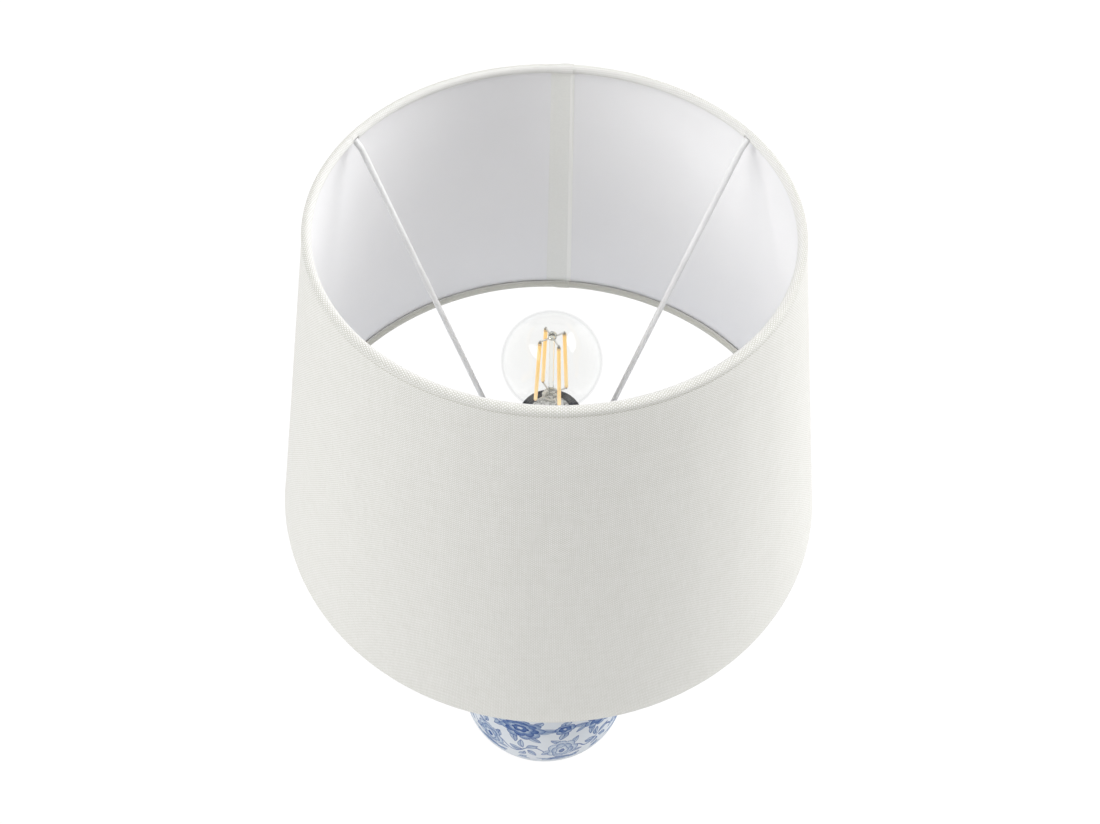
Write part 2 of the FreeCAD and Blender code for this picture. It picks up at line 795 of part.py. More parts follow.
fabric = new_body("shade_fabric")
turned(
    fabric,
    [
        (*round_ring(*LOW, "bead", "0"), "bead", 1),
        round_ring(*TOP, "bead", "0"),
        (*round_ring(*TOP, "bead", HALF_WRAP), "bead", 1),
        (*round_ring(*TOP, "bead", WRAP), "bead", 1),
        round_ring(*TOP, "bead_inner", WRAP),
        (*round_ring(*TOP, "bead_inner", HALF_WRAP), "bead_inner", -1),
        (*round_ring(*TOP, "bead_inner", "0"), "bead_inner", -1),
        round_ring(*LOW, "bead_inner", "0"),
        (*round_ring(*LOW, "bead_inner", "-" + HALF_WRAP), "bead_inner", -1),
        (*round_ring(*LOW, "bead_inner", "-(" + WRAP + ")"), "bead_inner", -1),
        round_ring(*LOW, "bead", "-(" + WRAP + ")"),
        (*round_ring(*LOW, "bead", "-" + HALF_WRAP), "bead", 1),
    ],
)
slit = new_sketch(fabric, "slit", "XY_Plane", "top_ring - 2 * bead")
draw(
    slit,
    [
        ("top_ring_radius - 2 * bead", "-notch_half_width"),
        ("top_ring_radius + hem_wire / 2", "-notch_half_width"),
        ("top_ring_radius + hem_wire / 2", "notch_half_width"),
        ("top_ring_radius - 2 * bead", "notch_half_width"),
    ],
)
cut = pocketed(fabric, slit, "2 * bead + arm_wire", "arm_slit", True)
patterned(fabric, cut, slit, ARMS)
turn_about(fabric, "first_arm")

# Stiff liner inside the fabric, and the tape over its seam

liner = new_body("shade_liner")
liner_outer = "bead_inner - bond_gap"
liner_inner = "bead_inner - bond_gap - liner_thickness"
turned(
    liner,
    [
        beside_ring(*LOW, liner_outer, "-liner_lap"),
        beside_ring(*TOP, liner_outer, "liner_lap"),
        beside_ring(*TOP, liner_inner, "liner_lap"),
        beside_ring(*LOW, liner_inner, "-liner_lap"),
    ],
)

seam = new_body("shade_seam_tape")
tape = new_sketch(seam, "tape", "XZ_Plane")
tape_outer = "bead_inner - bond_gap - liner_thickness - seam_gap"
tape_inner = "bead_inner - bond_gap - liner_thickness - seam_gap - seam_thickness"
draw(
    tape,
    [
        beside_ring(*LOW, tape_outer, "2 * bead"),
        beside_ring(*TOP, tape_outer, "-2 * bead"),
        beside_ring(*TOP, tape_inner, "-2 * bead"),
        beside_ring(*LOW, tape_inner, "2 * bead"),
    ],
)
strip = seam.newObject("PartDesign::Revolution", "shade_seam_tape_turned")
strip.Profile = tape
strip.ReferenceAxis = (tape, ["V_Axis"])
strip.Midplane = True
bind(strip, "Angle", "360 * seam_width / (2 * pi * (low_ring_radius + top_ring_radius) / 2)")
turn_about(seam, "seam_azimuth")

# Bulb: glass, screw cap, insulator and centre contact

glass = new_body("bulb_glass")
turned(
    glass,
    [
        ("bulb_neck_radius", "bulb_cap_rim"),
        ("bulb_neck_radius", "bulb_neck_top"),
        (
            "bulb_radius * cos(bulb_lean)",
            "bulb_centre - bulb_radius * sin(bulb_lean)",
            "bulb_neck_arc",
            -1,
        ),
        ("0", "bulb_centre + bulb_radius", "bulb_radius", 1),
        ("0", "bulb_centre + bulb_radius - bulb_glass_sheet"),
        (
            "(bulb_radius - bulb_glass_sheet) * cos(bulb_lean)",
            "bulb_centre - (bulb_radius - bulb_glass_sheet) * sin(bulb_lean)",
            "bulb_radius - bulb_glass_sheet",
            -1,
        ),
        ("bulb_neck_radius - bulb_glass_sheet", "bulb_neck_top", "bulb_neck_arc + bulb_glass_sheet", 1),
        ("bulb_neck_radius - bulb_glass_sheet", "bulb_cap_rim"),
    ],
)

screw_cap = new_body("bulb_cap")
turned(
    screw_cap,
    [
        ("bulb_cap_radius - bulb_cap_cone - bulb_cap_sheet", "bulb_tip + bulb_cap_low"),
        ("bulb_cap_radius - bulb_cap_cone", "bulb_tip + bulb_cap_low"),
        ("bulb_cap_radius", "bulb_tip + bulb_cap_low + bulb_cap_cone"),
        ("bulb_cap_radius", "bulb_cap_rim"),
        ("bulb_cap_radius - bulb_cap_sheet", "bulb_cap_rim"),
        ("bulb_cap_radius - bulb_cap_sheet", "bulb_tip + bulb_cap_low + bulb_cap_cone"),
    ],
)

insulator = new_body("bulb_insulator")
turned(
    insulator,
    [
        ("bulb_tip_radius - tip_flange", "bulb_tip + bulb_tip_height"),
        ("bulb_tip_radius + tip_flange", "bulb_tip + bulb_tip_height"),
        ("bulb_cap_radius - insulator_inset", "bulb_tip + bulb_cap_low"),
        ("bulb_cap_radius - insulator_inset", "bulb_tip + bulb_cap_low + insulator_band"),
        ("bulb_tip_radius - tip_flange", "bulb_tip + bulb_cap_low + insulator_band"),
    ],
)

tip = new_body("bulb_tip_contact")
turned(
    tip,
    [
        ("0", "bulb_tip"),
        ("bulb_tip_radius / 2", "bulb_tip"),
        ("bulb_tip_radius", "bulb_tip + bulb_tip_height / 2"),
        ("bulb_tip_radius", "bulb_tip + bulb_tip_height"),
        ("0", "bulb_tip + bulb_tip_height"),
    ],
)

# Glass stem with its flare sealed into the bulb's neck, and the rod that carries the filaments

stem = new_body("bulb_stem")
turned(
    stem,
    [
        ("bulb_neck_radius - bulb_glass_sheet - bond_gap", "stem_foot"),
        ("bulb_neck_radius - bulb_glass_sheet - bond_gap", "stem_foot + bulb_glass_sheet"),
        ("stem_tube", "stem_foot + stem_flare", "stem_flare_arc", -1),
        ("stem_tube", "stem_pinch - stem_shoulder"),
        ("stem_rod", "stem_pinch - stem_shoulder + stem_taper"),
        ("stem_rod", "stem_top"),
        ("0", "stem_top + stem_rod", "stem_rod", 1),
        ("0", "stem_pinch - stem_shoulder - 2 * bulb_glass_sheet"),
        ("stem_tube - bulb_glass_sheet", "stem_pinch - 2 * stem_shoulder"),
        ("stem_tube - bulb_glass_sheet", "stem_foot + stem_flare"),
        ("bulb_neck_radius - 2 * bulb_glass_sheet - bond_gap", "stem_foot", "stem_flare_arc", 1),
    ],
)

# Filaments, each leaning outwards at its foot, and the two crowns of lead wires that hold their ends

FILAMENT_LEAN = "atan((filament_foot_spread - filament_top_spread) / filament_length)"
for number in range(FILAMENTS):
    filament = new_body(f"filament_{number + 1}")
    half = new_sketch(filament, "half", "XZ_Plane")
    side = (f"filament_radius * cos({FILAMENT_LEAN})", f"filament_radius * sin({FILAMENT_LEAN})")
    draw(
        half,
        [
            ("filament_foot_spread", "filament_foot"),
            (f"filament_foot_spread + {side[0]}", f"filament_foot + {side[1]}"),
            (f"filament_top_spread + {side[0]}", f"filament_top + {side[1]}"),
            ("filament_top_spread", "filament_top"),
        ],
    )
    bar = filament.newObject("PartDesign::Revolution", filament.Label + "_turned")
    bar.Profile = half
    bar.ReferenceAxis = (half, ["Edge1"])
    bar.Angle = 360
    turn_about(filament, f"first_filament + {number} * 360 / {FILAMENTS}")

for label, level, hub, reach in (
    ("upper_leads", "filament_top + filament_radius", "stem_rod", "filament_top_spread"),
    ("lower_leads", "filament_foot - filament_radius", "stem_tube", "filament_foot_spread"),
):
    crown = new_body(label)
    band = new_sketch(crown, "band", "XY_Plane", f"{level} - lead_wire")
    draw_circle(band, f"{hub} + bond_gap + 2 * lead_wire")
    draw_circle(band, f"{hub} + bond_gap")
    padded(crown, band, "2 * lead_wire")
    spoke = new_sketch(crown, "spoke", "XY_Plane", f"{level} - lead_wire")
    draw(
        spoke,
        [
            (f"{hub} + bond_gap + lead_wire", "-lead_wire"),
            (f"{reach} + lead_wire", "-lead_wire"),
            (f"{reach} + lead_wire", "lead_wire"),
            (f"{hub} + bond_gap + lead_wire", "lead_wire"),
        ],
    )
    wire = padded(crown, spoke, "2 * lead_wire", "spoke")
    doc.recompute()
    patterned(crown, wire, spoke, FILAMENTS)
    turn_about(crown, "first_filament")

doc.recompute()

# Nothing is written unless every object is sound

for thing in doc.Objects:
    if {"Invalid", "Error"} & set(thing.State):
        raise RuntimeError(f"{thing.Label} failed: {thing.State}")
for piece in PIECES:
    if piece.Shape.isNull() or not piece.Shape.isValid() or not piece.Shape.Solids:
        raise RuntimeError(f"{piece.Label} has no sound solid")

os.makedirs("parts", exist_ok=True)
for piece in PIECES:
    piece.Shape.exportStep(f"parts/{piece.Label}.step")
    print(piece.Label, len(piece.Shape.Solids), round(piece.Shape.Volume, 1))
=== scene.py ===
import bpy
import math
from mathutils import Matrix, Vector

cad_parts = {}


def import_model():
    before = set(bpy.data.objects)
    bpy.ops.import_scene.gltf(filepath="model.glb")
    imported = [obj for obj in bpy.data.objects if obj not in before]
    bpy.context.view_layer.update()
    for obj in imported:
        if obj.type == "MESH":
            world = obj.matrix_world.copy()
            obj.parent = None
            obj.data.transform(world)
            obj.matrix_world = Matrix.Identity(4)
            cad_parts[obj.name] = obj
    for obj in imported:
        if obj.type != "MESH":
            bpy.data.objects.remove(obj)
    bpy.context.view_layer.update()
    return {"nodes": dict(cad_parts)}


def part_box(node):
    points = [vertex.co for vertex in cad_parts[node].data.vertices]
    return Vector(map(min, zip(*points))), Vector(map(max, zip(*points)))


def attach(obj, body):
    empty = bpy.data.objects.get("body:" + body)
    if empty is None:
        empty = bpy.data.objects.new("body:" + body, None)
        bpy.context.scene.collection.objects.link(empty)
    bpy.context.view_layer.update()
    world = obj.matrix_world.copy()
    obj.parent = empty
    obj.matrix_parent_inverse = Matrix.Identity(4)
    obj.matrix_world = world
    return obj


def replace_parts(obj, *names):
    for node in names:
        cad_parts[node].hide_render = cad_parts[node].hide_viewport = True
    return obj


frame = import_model()
nodes = frame["nodes"]
scene = bpy.context.scene

TURN = 2 * math.pi
MM = 0.001


# Camera, fitted to the shade's two rims in the photograph, in metres and radians

PHOTO_WIDTH = 1100
FOCAL_PX = 1058.27
SENSOR_MM = 36.0
ELEVATION = 0.9191
ROLL = 0.022
DISTANCE = 0.6579
AIM_ABOVE_HEM = 0.0652
AIM_ASIDE = -0.00036
SHADE_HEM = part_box("shade_fabric")[0].z


def camera():
    aim = Vector((AIM_ASIDE, 0, SHADE_HEM + AIM_ABOVE_HEM))
    eye = Vector((0, -DISTANCE * math.cos(ELEVATION), aim.z + DISTANCE * math.sin(ELEVATION)))
    ahead = (aim - eye).normalized()
    right = ahead.cross(Vector((0, 0, 1))).normalized()
    up = right.cross(ahead)
    turned_right = right * math.cos(ROLL) + up * math.sin(ROLL)
    turned_up = up * math.cos(ROLL) - right * math.sin(ROLL)
    data = bpy.data.cameras.new("camera")
    data.sensor_width = SENSOR_MM
    data.lens = SENSOR_MM * FOCAL_PX / PHOTO_WIDTH
    data.clip_start = 10 * MM
    eyepiece = bpy.data.objects.new("camera", data)
    scene.collection.objects.link(eyepiece)
    axes = Matrix((turned_right, turned_up, -ahead)).transposed()
    eyepiece.matrix_world = Matrix.Translation(eye) @ axes.to_4x4()
    scene.camera = eyepiece


# Shader nodes as arithmetic

class Value:
    """A number in a node tree; arithmetic on it adds math nodes."""

    def __init__(self, tree, socket):
        self.tree = tree
        self.socket = socket

    def math(self, operation, *others):
        node = self.tree.nodes.new("ShaderNodeMath")
        node.operation = operation
        for place, value in enumerate((self, *others)):
            feed(self.tree, node.inputs[place], value)
        return Value(self.tree, node.outputs[0])

    def __add__(self, other):
        return self.math("ADD", other)

    def __sub__(self, other):
        return self.math("SUBTRACT", other)

    def __rsub__(self, other):
        return self.math("MULTIPLY_ADD", -1.0, other)

    def __mul__(self, other):
        return self.math("MULTIPLY", other)

    def __abs__(self):
        return self.math("ABSOLUTE")

    def sin(self):
        return self.math("SINE")

    def cos(self):
        return self.math("COSINE")

    def power(self, exponent):
        return self.math("POWER", exponent)

    def floor(self):
        return self.math("FLOOR")

    def fraction(self):
        return self.math("FRACT")

    def most(self, other):
        return self.math("MAXIMUM", other)

    def rise(self, low, high):
        """0 before low, 1 after high and smooth between; with high below low it falls instead."""
        node = self.tree.nodes.new("ShaderNodeMapRange")
        node.interpolation_type = "SMOOTHSTEP"
        feed(self.tree, node.inputs["Value"], self)
        node.inputs["From Min"].default_value = low
        node.inputs["From Max"].default_value = high
        return Value(self.tree, node.outputs["Result"])

    def toward(self, other, share):
        """This value at share 0 and the other at share 1."""
        return (other - self) * share + self


def distance(x, y):
    return (x * x + y * y).power(0.5)


def azimuth_of(x, y):
    return y.math("ARCTAN2", x)


def feed(tree, socket, value):
    """Set a socket to a number or a colour, or link a value or another node's socket to it."""
    if isinstance(value, Value):
        tree.links.new(value.socket, socket)
    elif isinstance(value, bpy.types.NodeSocket):
        tree.links.new(value, socket)
    elif isinstance(value, tuple) and socket.type == "RGBA":
        socket.default_value = (*value, 1.0)
    else:
        socket.default_value = value


def show_both(tree, output, first, second):
    """Show the sum of two shaders on the surface."""
    both = tree.nodes.new("ShaderNodeAddShader")
    tree.links.new(first.outputs[0], both.inputs[0])
    tree.links.new(second.outputs[0], both.inputs[1])
    tree.links.new(both.outputs[0], output.inputs["Surface"])


# The Mix node's sockets for colours, which its sockets for numbers share their names with

MIX_COLOURS = (6, 7)
MIXED_COLOUR = 2


class Finish:
    """A material with one Principled shader, built up node by node.

    The settings are the shader's other sockets, in lower case with low lines for spaces.
    """

    def __init__(self, name, colour=(0.8, 0.8, 0.8), roughness=0.5, **settings):
        self.material = bpy.data.materials.new(name)
        self.material.use_nodes = True
        self.tree = self.material.node_tree
        self.tree.nodes.clear()
        self.shader = self.tree.nodes.new("ShaderNodeBsdfPrincipled")
        self.output = self.tree.nodes.new("ShaderNodeOutputMaterial")
        self.tree.links.new(self.shader.outputs[0], self.output.inputs["Surface"])
        self.put("Base Color", colour)
        self.put("Roughness", roughness)
        for word, value in settings.items():
            self.put(word.replace("_", " ").title().replace("Ior", "IOR"), value)

    def put(self, socket, value):
        feed(self.tree, self.shader.inputs[socket], value)

    def place(self, stretch=(1, 1, 1)):
        """Object coordinates, each axis scaled."""
        source = self.tree.nodes.new("ShaderNodeTexCoord").outputs["Object"]
        return self.scaled(source, stretch)

    def scaled(self, source, stretch):
        node = self.tree.nodes.new("ShaderNodeMapping")
        feed(self.tree, node.inputs["Vector"], source)
        node.inputs["Scale"].default_value = stretch
        return node.outputs["Vector"]

    def parts(self, vector):
        node = self.tree.nodes.new("ShaderNodeSeparateXYZ")
        feed(self.tree, node.inputs[0], vector)
        return [Value(self.tree, socket) for socket in node.outputs]

    def joined(self, x, y, z=0.0):
        node = self.tree.nodes.new("ShaderNodeCombineXYZ")
        for socket, value in zip(node.inputs, (x, y, z)):
            feed(self.tree, socket, value)
        return node.outputs[0]

    def noise_node(self, vector, scale, detail=2.0, roughness=0.5):
        node = self.tree.nodes.new("ShaderNodeTexNoise")
        feed(self.tree, node.inputs["Vector"], vector)
        node.inputs["Scale"].default_value = scale
        node.inputs["Detail"].default_value = detail
        node.inputs["Roughness"].default_value = roughness
        return node

    def noise(self, *settings):
        return Value(self.tree, self.noise_node(*settings).outputs[0])

    def ramp(self, value, *stops):
        """A colour band read at a value; each stop is (place, colour)."""
        node = self.tree.nodes.new("ShaderNodeValToRGB")
        feed(self.tree, node.inputs[0], value)
        band = node.color_ramp.elements
        while len(band) < len(stops):
            band.new(0.5)
        for element, (place, colour) in zip(band, stops):
            element.position = place
            element.color = (*colour, 1.0)
        return node.outputs["Color"]

    def colour(self, value, *stops):
        self.put("Base Color", self.ramp(value, *stops))

    def mottle(self, value, darkest, colour):
        """The colour, down to its darkest share where the value is low."""
        self.colour(value, (0.35, tuple(darkest * part for part in colour)), (0.65, colour))

    def mixed(self, share, first, second):
        """The first colour at share 0 and the second at share 1."""
        node = self.tree.nodes.new("ShaderNodeMix")
        node.data_type = "RGBA"
        feed(self.tree, node.inputs[0], share)
        for place, colour in zip(MIX_COLOURS, (first, second)):
            feed(self.tree, node.inputs[place], colour)
        return node.outputs[MIXED_COLOUR]

    def facing(self):
        """0 where the surface faces the viewer, 1 where it is seen edge on."""
        node = self.tree.nodes.new("ShaderNodeLayerWeight")
        node.inputs["Blend"].default_value = 0.5
        return Value(self.tree, node.outputs["Facing"])

    def bump(self, height, distance, strength=1.0):
        node = self.tree.nodes.new("ShaderNodeBump")
        feed(self.tree, node.inputs["Height"], height)
        node.inputs["Distance"].default_value = distance
        feed(self.tree, node.inputs["Strength"], strength)
        self.put("Normal", node.outputs["Normal"])


# Meshes

def volume(points, faces):
    """The volume that the faces close in, below 0 where they look inwards."""
    total = 0.0
    for face in faces:
        first = Vector(points[face[0]])
        for second, third in zip(face[1:], face[2:]):
            total += first.dot(Vector(points[second]).cross(Vector(points[third]))) / 6
    return total


def piece(name, points, faces, body, slot, finish, uv=None):
    """A smooth mesh, faces outwards, that rides on a body; uv has a pair for each corner of each face."""
    mesh = bpy.data.meshes.new(name)
    mesh.from_pydata(points, [], faces)
    if uv:
        layer = mesh.uv_layers.new(name="weave")
        layer.data.foreach_set("uv", [x for spot in uv for x in spot])
    mesh.polygons.foreach_set("use_smooth", [True] * len(mesh.polygons))
    mesh.materials.append(finish.material)
    if volume(points, faces) < 0:
        mesh.flip_normals()
    mesh.update()
    obj = bpy.data.objects.new(name, mesh)
    scene.collection.objects.link(obj)
    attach(obj, body)
    return obj


def loop_faces(columns, rows):
    """Quads of a grid closed both ways, its points kept column by column."""
    faces = []
    for column in range(columns):
        here, there = column * rows, (column + 1) % columns * rows
        for row in range(rows):
            above = (row + 1) % rows
            faces.append((here + row, there + row, there + above, here + above))
    return faces


def bar_faces(rings, sides):
    """Quads between rings of points, kept ring by ring, and a face over each end."""
    faces = []
    for ring in range(rings - 1):
        for step in range(sides):
            here, there = ring * sides + step, ring * sides + (step + 1) % sides
            faces.append((here, there, there + sides, here + sides))
    last = (rings - 1) * sides
    faces.append(tuple(range(sides - 1, -1, -1)))
    faces.append(tuple(range(last, last + sides)))
    return faces


def spun(outline, columns, swell=None):
    """The points and faces of a closed outline of (radius, height) turned round the lamp's axis.

    swell(angle, number of the point) is added to its radius.
    """
    points = []
    for column in range(columns):
        angle = TURN * column / columns
        for number, (radius, height) in enumerate(outline):
            reach = radius + (swell(angle, number) if swell else 0)
            points.append((reach * math.cos(angle), reach * math.sin(angle), height))
    return points, loop_faces(columns, len(outline))


def tube(path, radii, sides=12):
    """The points and faces of a closed round bar along a path."""
    points = []
    for number, spot in enumerate(path):
        before, after = path[max(number - 1, 0)], path[min(number + 1, len(path) - 1)]
        ahead = (after - before).normalized()
        steep = abs(ahead.z) >= 0.9
        side = ahead.cross(Vector((1, 0, 0)) if steep else Vector((0, 0, 1))).normalized()
        over = ahead.cross(side)
        for step in range(sides):
            angle = TURN * step / sides
            points.append(spot + (side * math.cos(angle) + over * math.sin(angle)) * radii[number])
    return points, bar_faces(len(path), sides)


def gathered(shapes):
    """Several shapes' points and faces as one shape's."""
    points, faces = [], []
    for more_points, more_faces in shapes:
        start = len(points)
        points += more_points
        faces += [tuple(start + corner for corner in face) for face in more_faces]
    return points, faces


# Shade wall, measured from the wire rings in its two hems

WIRE_RADIUS = 1.5 * MM
CLOTH_THICKNESS = 0.6 * MM


def ring_of(node):
    """The radius of a wire ring's centre line, and its height."""
    low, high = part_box(node)
    return (high.x - low.x) / 2 - WIRE_RADIUS, (high.z + low.z) / 2


TOP_RING = ring_of("shade_top_ring")
LOW_RING = ring_of("shade_bottom_ring")
TILT = math.atan2(LOW_RING[0] - TOP_RING[0], TOP_RING[1] - LOW_RING[1])
SLANT = math.hypot(LOW_RING[0] - TOP_RING[0], TOP_RING[1] - LOW_RING[1])
SLANT_FROM_APEX = LOW_RING[0] / math.sin(TILT)
ARM_AZIMUTHS = [math.radians(angle) for angle in (32.2, 152.2, 272.2)]
SEAM_AZIMUTH = math.radians(86)
FRONT = math.radians(270)


def beside(ring, aside, along):
    """A point of the wall's section: aside from a ring's centre, outwards, and along the wall, upwards."""
    radius, height = ring
    return (
        radius + aside * math.cos(TILT) - along * math.sin(TILT),
        height + aside * math.sin(TILT) + along * math.cos(TILT),
    )


def apart(angle, other):
    """The turn from other to angle, between minus and plus half a turn."""
    return (angle - other + math.pi) % TURN - math.pi


def eased(value):
    value = min(max(value, 0.0), 1.0)
    return value * value * (3 - 2 * value)


# Cloth cover: its hems roll round the wires, its seam laps, and its top hem is slit at the three arms

HEM_RADIUS = LOW_RING[1] - SHADE_HEM
DRAWN_RADIUS = WIRE_RADIUS + CLOTH_THICKNESS + 0.15 * MM
LOW_DRAWN = (math.radians(110), math.radians(50))
TOP_DRAWN = (0.0, math.radians(80))
LOW_CREASE = math.radians(20)
TOP_CREASE = math.radians(32)
GROOVE = 0.25 * MM
GROOVE_POINTS = ((1.2 * MM, 0.3), (0.6 * MM, 1.0))
WRAP = math.radians(290)
CUT_EDGE = math.radians(250)
LAP = 0.45 * MM
LAP_ARC = math.radians(3.7)
SLIT_HALF = math.radians(0.95)
SLIT_EASE = math.radians(0.6)
SLIT_WRAP = math.radians(150)
RIPPLE = 0.10 * MM
RIPPLE_WAVES = ((11, 1.3, 1.0), (29, 0.4, 0.6))
RIPPLE_FADE = 6 * MM
ARC_STEPS = 34
WALL_STEPS = 30


def drawn(reach, turned, start, span):
    """The cloth's distance from the wire's centre, turned so far round it.

    It draws tight over the wire from start on, and its cut edge runs straight on to the lining.
    """
    tight = reach + (DRAWN_RADIUS - HEM_RADIUS) * eased((turned - start) / span)
    return tight / math.cos(max(0.0, turned - CUT_EDGE))


def cover_columns():
    """Azimuths from the seam all the way round, closer together at the slits and at the lap's edge."""
    seam, edge, slit_step = math.degrees(SEAM_AZIMUTH), 0.04, 0.25
    angles = [seam + step for step in range(360)]
    angles += [seam + edge, seam + 360 - edge]
    for arm in ARM_AZIMUTHS:
        middle = math.degrees(arm) + (360 if arm < SEAM_AZIMUTH else 0)
        angles += [middle + step * slit_step for step in range(-12, 13)]
    return [math.radians(angle) for angle in sorted({round(angle, 3) for angle in angles})]


def rippled(azimuth):
    """How far the cloth stands off its cone, from the slight waviness round the shade."""
    return RIPPLE * sum(size * math.sin(waves * azimuth + phase) for waves, phase, size in RIPPLE_WAVES)


def cover_side(azimuth, lap, top_wrap, inner):
    """One face of the cover's section, from the low roll to the top roll, as places beside a ring."""
    inset = CLOTH_THICKNESS if inner else -lap
    reach = HEM_RADIUS - inset
    low_wall = HEM_RADIUS * math.cos(LOW_CREASE) - inset
    top_wall = HEM_RADIUS * math.cos(TOP_CREASE) - inset
    low_crease, top_crease = math.acos(low_wall / reach), math.acos(top_wall / reach)
    side = []
    for step in range(ARC_STEPS + 1):
        angle = -WRAP + (WRAP + low_crease) * step / ARC_STEPS
        away = drawn(reach, -angle, *LOW_DRAWN)
        side.append((LOW_RING, away * math.cos(angle), away * math.sin(angle)))
    start, end = reach * math.sin(low_crease), SLANT - reach * math.sin(top_crease)
    for step in range(1, WALL_STEPS):
        share = step / WALL_STEPS
        along = start + (end - start) * share
        fade = eased((along - start) / RIPPLE_FADE) * eased((end - along) / RIPPLE_FADE)
        side.append((LOW_RING, low_wall + (top_wall - low_wall) * share + rippled(azimuth) * fade, along))
    for before, share in GROOVE_POINTS:
        groove = 0 if inner else GROOVE * share
        side.append((LOW_RING, top_wall - groove, end - before))
    for step in range(ARC_STEPS + 1):
        angle = -top_crease + (top_wrap + top_crease) * step / ARC_STEPS
        away = drawn(reach, angle, *TOP_DRAWN)
        side.append((TOP_RING, away * math.cos(angle), away * math.sin(angle)))
    return side


def cover_section(azimuth):
    """The cover's section: its outer face from the low roll to the top roll, then back inside."""
    past_seam = (azimuth - SEAM_AZIMUTH) % TURN
    lap = LAP * (1 - eased((past_seam - LAP_ARC * 0.97) / (LAP_ARC * 0.03)))
    from_arm = min(abs(apart(azimuth, arm)) for arm in ARM_AZIMUTHS)
    slit = 1 - eased((from_arm - SLIT_HALF) / SLIT_EASE)
    top_wrap = WRAP + (SLIT_WRAP - WRAP) * slit
    section = cover_side(azimuth, lap, top_wrap, False)
    section += reversed(cover_side(azimuth, lap, top_wrap, True))
    return [beside(ring, aside, along) for ring, aside, along in section]


def flat_slants(section):
    """How far each point of a section lies from the apex of the cloth's flat pattern."""
    length, lengths = 0.0, [0.0]
    for row in range(1, len(section)):
        outer = row < len(section) // 2
        length += math.dist(section[row], section[row - 1]) * (1 if outer else -1)
        lengths.append(length)
    return [SLANT_FROM_APEX - (length - lengths[ARC_STEPS]) for length in lengths]


def flat_pattern(angles, sections):
    """Where each corner of the cover's faces lies in the cloth's flat pattern."""
    rows = len(sections[0])
    slants = [flat_slants(section) for section in sections]
    uv = []
    for column in range(len(angles)):
        after = (column + 1) % len(angles)
        turn = TURN if after == 0 else 0
        for row in range(rows):
            above = (row + 1) % rows
            corners = ((column, row, 0), (after, row, turn), (after, above, turn), (column, above, 0))
            for number, spot, more in corners:
                around = (angles[number] + more - FRONT) * math.sin(TILT)
                slant = slants[number][spot]
                uv.append((slant * math.sin(around), slant * math.cos(around)))
    return uv


def cover():
    angles = cover_columns()
    sections = [cover_section(angle) for angle in angles]
    points = [
        (radius * math.cos(angle), radius * math.sin(angle), height)
        for angle, section in zip(angles, sections)
        for radius, height in section
    ]
    faces = loop_faces(len(angles), len(sections[0]))
    uv = flat_pattern(angles, sections)
    cloth = piece("shade_cover", points, faces, "shade", "shade_fabric", CLOTH, uv)
    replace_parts(cloth, "shade_fabric")


# Finishes

WARP_PITCH = 0.92 * MM
WEFT_PITCH = 0.70 * MM
CLOTH_LIGHT = (0.905, 0.90, 0.887)
CLOTH_GAP = (0.46, 0.455, 0.38)
# Colour of the cloth's turned-in back, darkened as painted shade under the low roll
CLOTH_BACK_SHADE = (0.66, 0.655, 0.58)
CREASE_ALONG = -HEM_RADIUS * math.sin(TOP_CREASE) - 0.3 * MM
CREASE_HEIGHT = beside(TOP_RING, HEM_RADIUS * math.cos(TOP_CREASE), CREASE_ALONG)[1]


def thread_heights(finish, flat):
    """A plain weave's height, how far its warp lies over, its gaps and its threads' thickness."""
    across, down, _ = finish.parts(finish.scaled(flat, (1 / WARP_PITCH, 1 / WEFT_PITCH, 1)))
    across = across + (finish.noise(flat, 70.0, 2.0) - 0.5) * 0.35
    down = down + (finish.noise(flat, 43.0, 2.0) - 0.5) * 0.35
    warp = (across * math.pi).cos()
    weft = (down * math.pi).cos()
    over = warp * weft
    gap = (1.0 - abs(warp)) * (1.0 - abs(weft))
    warp_thick = finish.noise(finish.joined(across.math("ROUND") * 3.7, down * 0.06), 1.0, 2.0)
    weft_thick = finish.noise(finish.joined(across * 0.06, down.math("ROUND") * 3.7), 1.0, 2.0)
    warp_height = abs(warp) * 0.5 + over * 0.5 + (warp_thick - 0.5) * 0.25
    weft_height = abs(weft) * 0.5 - over * 0.5 + (weft_thick - 0.5) * 0.25
    return warp_height.most(weft_height), over, gap, warp_thick + weft_thick - 1.0


